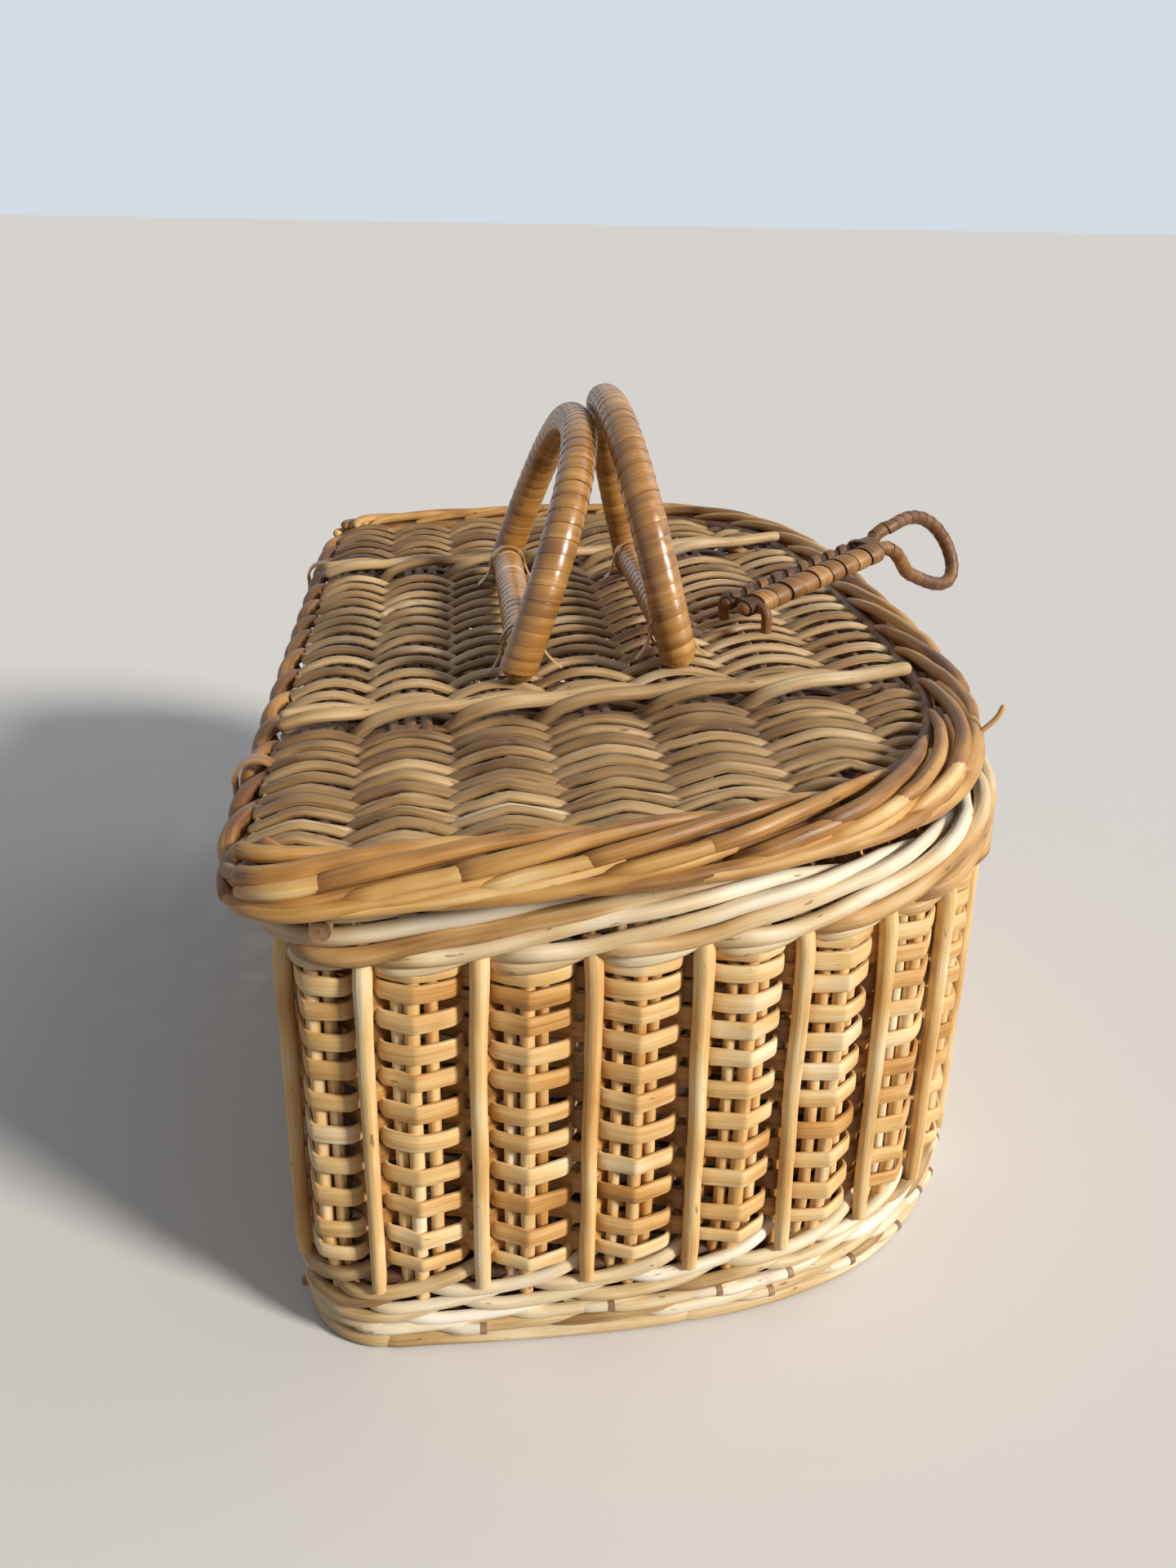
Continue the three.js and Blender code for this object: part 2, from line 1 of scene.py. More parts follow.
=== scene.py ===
"""Looks of a lidded wicker basket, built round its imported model.

Lengths in the functions are millimetres and become metres where a piece is made.
A strand is one rod, stick or strip of the weave. A piece is a bundle of strands.
"""

import math

import bpy
import numpy as np
from mathutils import Matrix, Vector


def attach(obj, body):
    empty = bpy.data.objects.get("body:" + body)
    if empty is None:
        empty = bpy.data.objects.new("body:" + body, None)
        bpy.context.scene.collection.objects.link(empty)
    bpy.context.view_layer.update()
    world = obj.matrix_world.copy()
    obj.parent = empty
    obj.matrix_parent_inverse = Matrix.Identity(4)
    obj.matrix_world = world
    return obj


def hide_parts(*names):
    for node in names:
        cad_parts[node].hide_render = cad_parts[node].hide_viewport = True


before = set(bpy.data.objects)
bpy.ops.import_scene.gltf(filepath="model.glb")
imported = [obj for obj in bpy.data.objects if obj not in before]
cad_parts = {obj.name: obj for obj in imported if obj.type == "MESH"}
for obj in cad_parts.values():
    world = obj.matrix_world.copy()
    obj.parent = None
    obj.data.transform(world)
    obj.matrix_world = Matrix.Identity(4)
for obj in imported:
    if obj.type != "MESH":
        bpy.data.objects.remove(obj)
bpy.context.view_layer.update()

MM = 0.001
UP = (0, 0, 1)
rng = np.random.default_rng(20)

# Sizes of the model that the pieces follow
STAKE_PLAN = dict(half_length=181, back=107, front=-107, corner=27, fullness=3.4)
STAKES = 36
STAKE_START = 0.75
BASE_THICKNESS = 9
BASE_INSET = 11.3
BASE_WEAVE_HALF = 166
RIM_UNDER = 124.5
RAIL_RADIUS = 4.5
RAIL_Y = 93.2
RAIL_Z = 136.5
RAIL_HALF = 185.7
HINGE_Y = 115.5
HINGE_Z = 147.3
HINGE_LOOP_X = 115
HINGE_LOOP_LOW = 134
PEG_Y = -112
PEG_Z = RIM_UNDER + 9
PEG_RISE = 15
LID_TILT = 3.4
LID_HALF_LENGTH = 199.5
LID_FRONT = -100
LID_TOP = 8.2
LID_BORDER = 17
BAND_X = 91.5
GAP = 0.3
HANDLE_X = -3
HANDLE_SEAT = 8.4
TIE_INSET = 6
HANDLE_RADIUS = 6
BAR_RADIUS = 5.6
HANDLES_FROM_HINGE = 101.8
HANDLE_SPACING = 47.8
HANDLE_FULLNESS = 2.4
HANDLE_FOOT = 4.3
BACK_HALF_SPAN = 65.5
BACK_HEIGHT = 64
FRONT_HALF_SPAN = 62
FRONT_HEIGHT = 66
FRONT_LEAN = 10.4
LATCH_X = -27
LATCH_FROM_HANDLE = 29.8
LATCH_SWING = 30
LATCH_RISE = 8
LATCH_HEIGHT = 8
STRAP_LENGTH = 62
LOOP_LENGTH = 39.5
LOOP_HALF_WIDTH = 13
LOOP_WIDEST = 0.72
LOOP_FULLNESS = 1.3
LOOP_NECK = 3
LOOP_RADIUS = 2.5
LOOP_DROOP = 20
LOOP_TWIST = 70
LOOP_BEND = 14


# Lines


def unit(vectors):
    return vectors / np.maximum(np.linalg.norm(vectors, axis=-1, keepdims=True), 1e-9)


def signed_power(values, power):
    return np.sign(values) * np.abs(values) ** power


def points_of(x, y, z):
    return np.stack(np.broadcast_arrays(x, y, z), 1)


def run_along(path):
    """How far along a path each of its points lies."""
    return np.concatenate([[0], np.cumsum(np.linalg.norm(np.diff(path, axis=0), axis=1))])


def sampled(at, run, values):
    """Rows of values, read at places along a run."""
    return np.stack([np.interp(at, run, column) for column in values.T], 1)


def flow(table, at):
    """A smooth line through the rows of a table, whose first column is where each row holds."""
    rows = np.array(table, float)
    knots, values = rows[:, 0], rows[:, 1:]
    slopes = np.gradient(values, knots, axis=0)
    at = np.clip(np.atleast_1d(at), knots[0], knots[-1])
    i = np.clip(np.searchsorted(knots, at, side="right") - 1, 0, len(knots) - 2)
    width = (knots[i + 1] - knots[i])[:, None]
    t = (at - knots[i])[:, None] / width
    low = (1 + 2 * t) * (1 - t) ** 2 * values[i] + t * (1 - t) ** 2 * width * slopes[i]
    high = t * t * (3 - 2 * t) * values[i + 1] + t * t * (t - 1) * width * slopes[i + 1]
    return low + high


def wander(at, size, scale):
    """A smooth random drift of about the given size, which turns about every scale of at."""
    total = np.zeros(len(at))
    for octave in range(3):
        phase, speed = rng.uniform(0, 2 * math.pi), rng.uniform(0.7, 1.4)
        total += np.sin(2 * math.pi * at * speed * 1.7**octave / scale + phase) / 1.6**octave
    return size * total / 1.8


def front_curve(plan, x):
    shoulder = plan["back"] - plan["corner"]
    share = np.clip(np.abs(x / plan["half_length"]), 0, 1)
    fall = (1 - share ** plan["fullness"]) ** (1 / plan["fullness"])
    return shoulder - (shoulder - plan["front"]) * fall


def d_line(plan):
    """A D anticlockwise from above, from the middle of its straight back."""
    half, corner = plan["half_length"], plan["corner"]
    shoulder = plan["back"] - corner
    turn = np.linspace(0, math.pi / 2, 61)
    left = np.stack([corner - half - corner * np.sin(turn), shoulder + corner * np.cos(turn)], 1)
    right = np.stack([half - corner + corner * np.cos(turn), shoulder + corner * np.sin(turn)], 1)
    cosine = np.cos(np.linspace(0, math.pi, 721)[1:-1])
    x = -half * signed_power(cosine, 2 / plan["fullness"])
    front = np.stack([x, front_curve(plan, x)], 1)
    return np.vstack([[[0, plan["back"]]], left, front, right])


class Ring:
    """A closed line in the plan, walked by its share of the way round."""

    steps = 1440

    def __init__(self, points):
        closed = np.vstack([points, points[:1]])
        sums = run_along(closed)
        self.length = sums[-1]
        self.points = sampled(np.arange(self.steps) * self.length / self.steps, sums, closed)
        ahead = unit(np.roll(self.points, -1, 0) - np.roll(self.points, 1, 0))
        self.normals = np.stack([ahead[:, 1], -ahead[:, 0]], 1)

    def at(self, share, out):
        """Points at shares of the way round, moved outward, and the outward directions."""
        place = (np.asarray(share) % 1) * self.steps
        i = np.floor(place).astype(int) % self.steps
        part = (place - np.floor(place))[:, None]
        j = (i + 1) % self.steps
        normal = unit(self.normals[i] * (1 - part) + self.normals[j] * part)
        point = self.points[i] * (1 - part) + self.points[j] * part
        return point + normal * np.broadcast_to(out, len(place))[:, None], normal


def stack(plan_points, z):
    return np.column_stack([plan_points, np.broadcast_to(z, len(plan_points))])


# Places of the moving groups, as matrices in millimetres


def shift(x, y, z):
    return Matrix.Translation((x, y, z))


def turn(axis, degrees):
    return Matrix.Rotation(math.radians(degrees), 4, axis)


LID = shift(0, HINGE_Y, HINGE_Z) @ turn("X", -LID_TILT)
BACK_Y = HANDLE_SPACING / 2 - HANDLES_FROM_HINGE
FRONT_Y = BACK_Y - HANDLE_SPACING
REACH = HANDLE_SPACING * math.cos(math.radians(FRONT_LEAN)) - 2 * HANDLE_RADIUS - GAP
BACK_LEAN = math.degrees(math.asin(REACH / BACK_HEIGHT)) - FRONT_LEAN
BACK_HANDLE = LID @ shift(HANDLE_X, BACK_Y, LID_TOP + HANDLE_SEAT) @ turn("X", BACK_LEAN)
FRONT_HANDLE = LID @ shift(HANDLE_X, FRONT_Y, LID_TOP + HANDLE_SEAT) @ turn("X", -FRONT_LEAN)
LATCH_Y = FRONT_Y - LATCH_FROM_HANDLE
STAPLE = LID @ shift(LATCH_X, LATCH_Y, LID_TOP + LATCH_HEIGHT) @ turn("Z", LATCH_SWING - 90)
STRAP = STAPLE @ turn("Y", -LATCH_RISE)


# Strands


def add_object(name, data):
    made = bpy.data.objects.new(name, data)
    bpy.context.scene.collection.objects.link(made)
    return made


class Bundle:
    """The strands of one piece, gathered as one mesh."""

    def __init__(self):
        self.points, self.tones, self.grain = [], [], []
        self.quads, self.tris = [], []
        self.count = 0

    def strand(self, path, half_width, half_height, up, tone, sides=8, box=2.0, ends="cut"):
        """A strand along a path. Its height is measured along up, and its section goes from an
        ellipse, box 2, towards a rectangle. Its ends are cut square or rounded."""
        path = np.asarray(path, float)
        steps = len(path)
        along = unit(np.gradient(path, axis=0))
        up = np.broadcast_to(up, path.shape)
        up = unit(up - along * np.sum(up * along, axis=1, keepdims=True))
        side = np.cross(along, up)
        width = np.broadcast_to(half_width, steps)
        height = np.broadcast_to(half_height, steps)
        tone = np.broadcast_to(tone, steps)
        run = run_along(path)
        if ends == "round":
            lean = np.radians([68, 35])
            first = path[0] - along[0] * (min(width[0], height[0]) * np.sin(lean))[:, None]
            last = path[-1] + along[-1] * (min(width[-1], height[-1]) * np.sin(lean[::-1]))[:, None]
            path = np.vstack([first, path, last])
            held = np.clip(np.arange(-2, steps + 2), 0, steps - 1)
            side, up, tone, run = side[held], up[held], tone[held], run[held]
            shrink = np.concatenate([np.cos(lean), np.ones(steps), np.cos(lean[::-1])])
            width, height = width[held] * shrink, height[held] * shrink
            steps += 4
        angle = np.arange(sides) * 2 * math.pi / sides + math.pi / sides
        a = width[:, None] * signed_power(np.cos(angle), 2 / box)
        b = height[:, None] * signed_power(np.sin(angle), 2 / box)
        shell = path[:, None] + side[:, None] * a[..., None] + up[:, None] * b[..., None]
        start = rng.uniform(0, 1000)
        grain = np.stack(np.broadcast_arrays((start + run)[:, None], a, b), 2)
        first, last = self.count, self.count + (steps - 1) * sides
        self.points += [shell.reshape(-1, 3), path[:1], path[-1:]]
        self.grain += [grain.reshape(-1, 3), [[start, 0, 0]], [[start + run[-1], 0, 0]]]
        self.tones += [np.repeat(tone, sides), tone[:1], tone[-1:]]
        ring = np.arange(sides)
        after = (ring + 1) % sides
        base = first + np.arange(steps - 1)[:, None] * sides
        quad = np.stack([base + ring, base + after, base + sides + after, base + sides + ring], 2)
        self.quads.append(quad.reshape(-1, 4))
        foot = first + steps * sides
        self.tris.append(points_of(foot, first + after, first + ring))
        self.tris.append(points_of(foot + 1, last + ring, last + after))
        self.count += steps * sides + 2

    def make(self, name, material, body, slot, nodes, matrix=Matrix()):
        place = np.array(matrix)
        points = np.vstack(self.points) @ place[:3, :3].T + place[:3, 3]
        quads = np.vstack(self.quads)
        tris = np.vstack(self.tris)
        mesh = bpy.data.meshes.new(name)
        mesh.vertices.add(len(points))
        mesh.vertices.foreach_set("co", (points * MM).astype(np.float32).ravel())
        corners = np.concatenate([quads.ravel(), tris.ravel()]).astype(np.int32)
        sizes = np.repeat([4, 3], [len(quads), len(tris)])
        starts = np.concatenate([[0], np.cumsum(sizes)[:-1]]).astype(np.int32)
        mesh.loops.add(len(corners))
        mesh.loops.foreach_set("vertex_index", corners)
        mesh.polygons.add(len(sizes))
        mesh.polygons.foreach_set("loop_start", starts)
        mesh.update(calc_edges=True)
        mesh.validate()
        tone = mesh.attributes.new("tone", "FLOAT", "POINT")
        tone.data.foreach_set("value", np.concatenate(self.tones).astype(np.float32))
        grain = mesh.attributes.new("grain", "FLOAT_VECTOR", "POINT")
        grain.data.foreach_set("vector", (np.vstack(self.grain) * MM).astype(np.float32).ravel())
        mesh.shade_smooth()
        mesh.set_sharp_from_angle(angle=math.radians(62))
        mesh.materials.append(material)
        piece = add_object(name, mesh)
        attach(piece, body)
        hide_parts(*nodes)


# Materials


class Nodes:
    """Builds the look of a material or of the world, node by node."""

    def __init__(self, owner):
        owner.use_nodes = True
        self.owner, self.tree = owner, owner.node_tree

    def fill(self, node, inputs):
        for key, value in inputs.items():
            if isinstance(value, bpy.types.NodeSocket):
                self.tree.links.new(value, node.inputs[key])
            else:
                node.inputs[key].default_value = value

    def add(self, kind, inputs=None, **settings):
        node = self.tree.nodes.new("ShaderNode" + kind)
        for key, value in settings.items():
            setattr(node, key, value)
        self.fill(node, inputs or {})
        return node

    def math(self, operation, *values, clamp=False):
        inputs = dict(enumerate(values))
        return self.add("Math", inputs, operation=operation, use_clamp=clamp).outputs[0]

    def spread(self, value, low, high, to_low=0.0, to_high=1.0):
        names = dict(zip(("From Min", "From Max", "To Min", "To Max"), (low, high, to_low, to_high)))
        return self.add("MapRange", {"Value": value, **names}).outputs[0]

    def noise(self, vector, scale, detail, rough):
        inputs = {"Vector": vector, "Scale": scale, "Detail": detail, "Roughness": rough}
        return self.add("TexNoise", inputs).outputs["Fac"]

    def streaks(self, vector, along, across, detail, rough):
        """Noise that is drawn out along a strand."""
        inputs = {"Vector": vector, "Scale": (along, across, across)}
        return self.noise(self.add("Mapping", inputs).outputs[0], 1.0, detail, rough)

    def of_rays(self, *kinds):
        """Whether a ray is of one of the kinds."""
        rays = self.add("LightPath").outputs
        either = rays[f"Is {kinds[0]} Ray"]
        for kind in kinds[1:]:
            either = self.math("MAXIMUM", either, rays[f"Is {kind} Ray"])
        return either

    def ramp(self, value, colours):
        node = self.add("ValToRGB", {"Fac": value})
        points = node.color_ramp.elements
        while len(points) < len(colours):
            points.new(0.5)
        for i, colour in enumerate(colours):
            points[i].position = i / (len(colours) - 1)
            points[i].color = linear(colour)
        return node.outputs[0]

    def mix(self, share, low, high):
        inputs = {0: share, 6: low, 7: high}
        return self.add("Mix", inputs, data_type="RGBA").outputs[2]


def linear(colour):
    """The linear values of a colour written as 0xRRGGBB, and 1 for its alpha."""
    parts = [(colour >> bits & 255) / 255 for bits in (16, 8, 0)]
    return *(p / 12.92 if p <= 0.04045 else ((p + 0.055) / 1.055) ** 2.4 for p in parts), 1


KNOT_COLOUR = 0x5A3517
GRAIN_DEPTH = 0.0006


def wicker(name, colours, roughness, spots, bump, coat=0.0):
    """Peeled rod or cane: its colour by the strand's tone, with grain along it, small knots,
    and patches where it has darkened."""
    look = Nodes(bpy.data.materials.new(name))
    shader = look.tree.nodes["Principled BSDF"]
    grain = look.add("Attribute", attribute_name="grain").outputs["Vector"]
    tone = look.add("Attribute", attribute_name="tone").outputs["Fac"]
    place = look.add("TexCoord").outputs["Object"]
    fibre = look.streaks(grain, 60, 1500, 5, 0.6)
    streak = look.streaks(grain, 18, 420, 3, 0.5)
    patch = look.streaks(grain, 32, 60, 3, 0.5)
    stain = look.noise(place, 26, 3, 0.5)
    shade = tone
    for part, most in ((streak, 0.16), (patch, 0.17), (stain, 0.1), (fibre, 0.09)):
        change = look.spread(part, 0.3, 0.7, -most, most)
        shade = look.math("ADD", shade, change, clamp=part is fibre)
    colour = look.ramp(shade, colours)
    knot = look.spread(look.streaks(grain, 130, 420, 2, 0.5), 0.70, 0.76)
    colour = look.mix(look.math("MULTIPLY", knot, spots), colour, linear(KNOT_COLOUR))
    gloss = look.spread(streak, 0.3, 0.7, roughness - 0.08, roughness + 0.1)
    height = look.math("ADD", look.math("MULTIPLY", fibre, 0.5), streak)
    height = look.math("SUBTRACT", height, look.math("MULTIPLY", knot, 0.6))
    relief = look.add("Bump", {"Height": height, "Strength": bump, "Distance": GRAIN_DEPTH})
    look.fill(shader, {
        "Base Color": colour, "Roughness": gloss, "Normal": relief.outputs[0],
        "Coat Weight": coat, "Coat Roughness": 0.27, "Sheen Weight": 0.05,
    })
    return look.owner


GOLDEN = wicker("golden_willow", (0x82531D, 0xCC954E, 0xE8C283, 0xF8E6C0), 0.5, 0.6, 0.5)
PALE = wicker("pale_willow", (0x8C6638, 0xCBA871, 0xE7D2AA, 0xF8EEDA), 0.52, 0.7, 0.55)
RIM = wicker("rim_willow", (0x8F6230, 0xC69A5E, 0xE0C79C, 0xF1E4CA), 0.5, 0.6, 0.5)
TOP = wicker("lid_willow", (0x6B4B28, 0xA07C4C, 0xC4A272, 0xE8D4AE), 0.54, 0.7, 0.6)
BROWN = wicker("brown_willow", (0x6E431A, 0xAF7C3C, 0xCFA25E, 0xE9CD98), 0.46, 0.6, 0.5)
STICK = wicker("stick_willow", (0x3E2614, 0x66452A, 0x86623F, 0xA98560), 0.6, 0.4, 0.6)
CANE = wicker("glossy_cane", (0x5C3711, 0x946227, 0xBB8642, 0xE4BF86), 0.33, 0.7, 0.25, 0.5)
DARK = wicker("dark_cane", (0x3A200C, 0x6C4219, 0x93652E, 0xBD9052), 0.5, 0.6, 0.5, 0.06)
# The cores are near black: where they show between windings and lacing they are painted shade in
# those gaps.
CORE = wicker("cane_core", (0x2E1A0B, 0x45290F, 0x5C3818, 0x6E4722), 0.7, 0.2, 0.4)


# Basket: wall, stakes, foot and rim

stake_ring = Ring(d_line(STAKE_PLAN))
BAY = stake_ring.length / STAKES


def wall_path(bays, out, z):
    """A line given by bays past the first stake, distance outside the stake line, and height."""
    points, normals = stake_ring.at((np.asarray(bays) + STAKE_START) / STAKES, out)
    return stack(points, z), stack(normals, 0)


def wall_rod(bundle, bays, out, z, radius, tone, sides=10, ends="cut"):
    """A round rod on such a line."""
    path, normals = wall_path(bays, out, z)
    bundle.strand(path, radius, radius, normals, tone, sides, ends=ends)


ROW_HEIGHTS = (122.7, 115.9, 108.4, 99.4, 90.5, 81.1, 71.5, 61.5, 51.5, 40.8, 32.4)
CREST = 0.46
OUTER_STRIP, LOWEST_STRIP, INNER_STRIP = (2.62, 0.75), (2.1, 0.75), (3.3, 0.7)
# The thin uprights of a bay: places along it, places outside the stake line, radii
THREE_UPRIGHTS = ((-4.4, 0.0, 4.4), (-3.35, -1.15, -3.0), (1.75, 2.05, 1.75))
FOUR_UPRIGHTS = ((-4.2, 0.0, 4.0, 7.6), (-3.3, -1.15, -2.9, -4.1), (1.7, 1.95, 1.75, 1.6))

# Strips of the wall. Each row: share of a bay past its stake, distance outside the stake line,
# which the outer strips have twice, for a creased and for a round bend
FRONT_ROW = (
    (-0.10, -7.4, -7.4), (0.0, -7.6, -7.6), (0.05, -6.7, -6.7), (0.09, -4.6, -4.5),
    (0.13, -2.9, -2.6), (0.20, -1.9, -1.2), (0.32, -0.35, 0.35), (0.43, 1.2, 1.15),
    (0.46, 1.6, 1.25), (0.49, 1.4, 1.22), (0.62, -0.1, 0.4), (0.74, -1.5, -0.9),
    (0.785, -2.1, -1.7), (0.82, -3.3, -3.1), (0.85, -5.1, -5.1), (0.89, -6.8, -6.8),
    (0.95, -7.5, -7.5), (1.0, -7.6, -7.6), (1.05, -6.7, -6.7),
)
BACK_ROW = (
    (-0.10, -3.8), (0.0, -3.3), (0.06, -3.35), (0.11, -4.0), (0.155, -5.3), (0.21, -6.6),
    (0.5, -6.9), (0.75, -6.6), (0.83, -5.4), (0.90, -3.8), (1.0, -3.3), (1.06, -3.35),
)
FRONT_STEPS = np.array([
    0.0, 0.04, 0.075, 0.11, 0.15, 0.22, 0.3, 0.38, 0.43, 0.45, 0.46, 0.47, 0.49, 0.55, 0.63, 0.70,
    0.75, 0.785, 0.81, 0.835, 0.86, 0.89, 0.94,
])
BACK_STEPS = np.array([0.0, 0.05, 0.09, 0.13, 0.17, 0.22, 0.35, 0.5, 0.65, 0.77, 0.83, 0.88, 0.94])


def closed_row(bundle, steps, out, z, size, tones, crests, lifts):
    """A strip that goes the whole way round the wall, its ends lapped behind a stake. It
    keeps its level between two stakes and changes it behind them."""
    height, thickness = size
    even = (0, 0.1, CREST, 0.8, 1)
    bays = np.concatenate(
        [k + np.interp(steps, even, (0, 0.1, crests[k], 0.8, 1)) for k in range(STAKES)]
    )
    lift = np.repeat(lifts + rng.normal(0, 0.3, STAKES), len(steps))
    ramp = (np.tile(steps, STAKES) < 0.05).nonzero()[0]
    lift[ramp] = (lift[ramp] + lift[ramp - 1]) / 2
    bays = np.append(bays, [STAKES, STAKES + steps[1]])
    out = np.append(out, out[:2])
    level = z + np.append(lift, lift[:2]) + wander(bays, 0.2, 1.3)
    path, normals = wall_path(bays, out, level)
    tall = height * (1 + wander(bays, 0.07, 2.3))
    tone = np.interp(bays, np.arange(STAKES + 2), tones) + wander(bays, 0.07, 1.7)
    bundle.strand(path, tall, thickness, normals, tone, sides=10, box=3.4)


def build_wall():
    front, back, uprights = Bundle(), Bundle(), Bundle()
    crests = CREST + np.clip(rng.normal(0.0, 0.03, STAKES), -0.06, 0.05)
    lifts = np.clip(rng.normal(-0.7, 1.1, STAKES), -2.6, 1.0)
    sharp, soft = flow(FRONT_ROW, FRONT_STEPS).T
    inner = np.tile(flow(BACK_ROW, BACK_STEPS)[:, 0], STAKES)
    for i, z in enumerate(ROW_HEIGHTS):
        crease = np.clip(rng.normal(0.85 if i > 1 else 0.3, 0.35, (STAKES, 1)), 0, 1.1)
        bulge = rng.normal(0, 0.16, (STAKES, 1)) * np.sin(math.pi * FRONT_STEPS) ** 2
        outer = (soft + (sharp - soft) * crease + bulge).ravel()
        tones = rng.normal(0.6, 0.14, STAKES + 2)
        share = np.interp(z, (ROW_HEIGHTS[-1], ROW_HEIGHTS[0]), (0.6, 1.0))
        size = LOWEST_STRIP if z == ROW_HEIGHTS[-1] else OUTER_STRIP
        closed_row(front, FRONT_STEPS, outer, z, size, tones, crests, lifts * share)
    for low, high in zip(ROW_HEIGHTS[1:], ROW_HEIGHTS[:-1]):
        # The inner strips get dark tones: painted shade inside the wall.
        tones = rng.normal(0.15, 0.12, STAKES + 2)
        level = (low + high) / 2 - 0.6
        closed_row(back, BACK_STEPS, inner, level, INNER_STRIP, tones, crests, lifts)
    heights = np.linspace(17, 131, 16)
    tuck = np.interp(heights, [17, 26, 36, 112, 124, 131], [-3.2, -2.4, 0, 0, -0.6, -1.8])
    for k in range(STAKES):
        group = FOUR_UPRIGHTS if rng.random() < 0.14 else THREE_UPRIGHTS
        for offset, out, radius in zip(*group):
            mine = radius * rng.uniform(0.88, 1.06)
            where = k + crests[k] + (offset + rng.normal(0, 0.25)) / BAY
            where = where + wander(heights, 0.006, 90)
            tone = rng.normal(0.6, 0.14) + wander(heights, 0.08, 30)
            wall_rod(uprights, where, out + tuck, heights, mine, tone)
        where = k + wander(heights, 0.01, 80)
        wall_rod(uprights, where, -5.45, heights, 1.3, rng.normal(0.4, 0.1), 8)
    for bundle, name in ((front, "outer_strips"), (back, "inner_strips"), (uprights, "uprights")):
        bundle.make(f"wall_{name}", GOLDEN, "basket", "golden_willow", ["woven_wall"])


# An outer stake. Each row: height, distance outside the stake line, radius
STAKE_TABLE = (
    (23.0, 0.0, 2.0), (24.0, 0.0, 2.05), (50, 0.1, 2.15), (90, 0.15, 2.35), (112, 0.1, 2.5),
    (119, -0.1, 2.65), (124, -1.2, 2.7), (129, -3.0, 2.6),
)


def build_stakes():
    heights = np.concatenate([[23.2], np.linspace(24.5, 118, 15), [121, 124, 127, 129]])
    shape = flow(STAKE_TABLE, heights)
    for k in range(STAKES):
        bundle = Bundle()
        sideways = wander(heights, 0.016, 130) + rng.normal(0, 0.012)
        radius = shape[:, 1] * rng.uniform(0.92, 1.06) * (1 + wander(heights, 0.03, 25))
        out = shape[:, 0] + wander(heights, 0.15, 60)
        tone = rng.normal(0.7, 0.12) + wander(heights, 0.09, 60)
        wall_rod(bundle, k + sideways, out, heights, radius, tone, 12)
        number = f"{k + 1:02d}"
        name = f"stake_rod_{number}"
        bundle.make(name, GOLDEN, "basket", "golden_willow", [f"outer_stake_{number}"])


# Rows of the foot. Each rod: bays past its start, distance outside the stake line, rise
FOOT_WEAVE = (
    (-0.75, -7.5, 0.0), (-0.55, -4.4, 0.0), (-0.38, -2.2, 0.2), (0.0, -1.5, 0.8),
    (0.35, -1.5, 2.4), (0.65, -1.8, 4.8), (0.85, -3.2, 6.6), (1.0, -5.4, 7.6), (1.12, -7.5, 8.0),
)
# Each row: height, distance further inside, share of the rise, radius
FOOT_ROWS = (
    (20.0, 0.0, 1.0, 2.05), (15.2, 0.1, 0.8, 2.0), (10.8, 0.3, 0.5, 1.95), (7.0, 0.9, 0.35, 2.0),
)
# Cut ends that show in the foot: height, and bays past a stake
FOOT_CUTS = ((12.6, 0.3), (7.6, 0.82))


def build_foot():
    foot, butts = Bundle(), Bundle()
    steps = np.linspace(-0.75, 1.12, 20)
    shape = flow(FOOT_WEAVE, steps)
    for row, (level, inset, climb, size) in enumerate(FOOT_ROWS):
        for k in range(STAKES):
            start = k + 0.36 * row + rng.normal(0, 0.04)
            height = level + shape[:, 1] * climb + rng.normal(0, 0.25) + wander(steps, 0.15, 1.2)
            radius = size * rng.uniform(0.88, 1.06)
            tone = rng.normal(0.56, 0.2) + wander(steps, 0.1, 1.3)
            wall_rod(foot, start + steps, shape[:, 0] - inset, height, radius, tone)
    for k in range(STAKES):
        for level, past_stake in FOOT_CUTS:
            if rng.random() < 0.3:
                continue
            end = k + past_stake + rng.normal(0, 0.08)
            run = np.linspace(end - 0.42, end, 8)
            out = np.interp(run - end, (-0.42, -0.2, 0), (-4.0, -0.9, -0.1))
            out = out - (14 - level) * 0.06
            height = level + (run - end) * 3.5
            wall_rod(foot, run, out, height, 1.6, rng.normal(0.72, 0.12))
            face = end + np.array([-0.01, 0.05])
            wall_rod(butts, face, out[-1] + 0.1, level + 0.05, 1.68, rng.normal(0.8, 0.1))
    long = np.linspace(-0.2, 3.3, 30)
    inset = np.interp(long, [-0.2, 0.1, 3.0, 3.3], [-6.5, -3.6, -3.6, -6.5])
    for k in range(STAKES // 3):
        height = 2.4 + wander(long, 0.12, 2)
        wall_rod(foot, 3 * k + long, inset, height, 2.2, rng.normal(0.6, 0.12))
        wall_rod(foot, 3 * k + 1.4 + long, inset - 4.4, 2.5, 2.3, rng.normal(0.5, 0.12), 8)
        # Dark rods in the stick colour behind the foot wale: painted shade in its gaps.
        for level in (7.0, 12.0, 17.0, 22.0):
            path, normals = wall_path(3 * k + 0.7 + long, -7.6, level + wander(long, 0.3, 2))
            butts.strand(path, 2.4, 2.9, normals, rng.normal(0.3, 0.12), sides=8)
    foot.make("foot_wale", PALE, "basket", "pale_willow", ["foot_border"])
    butts.make("foot_cut_ends_and_shade_rods", STICK, "basket", "pale_willow", ["foot_border"])


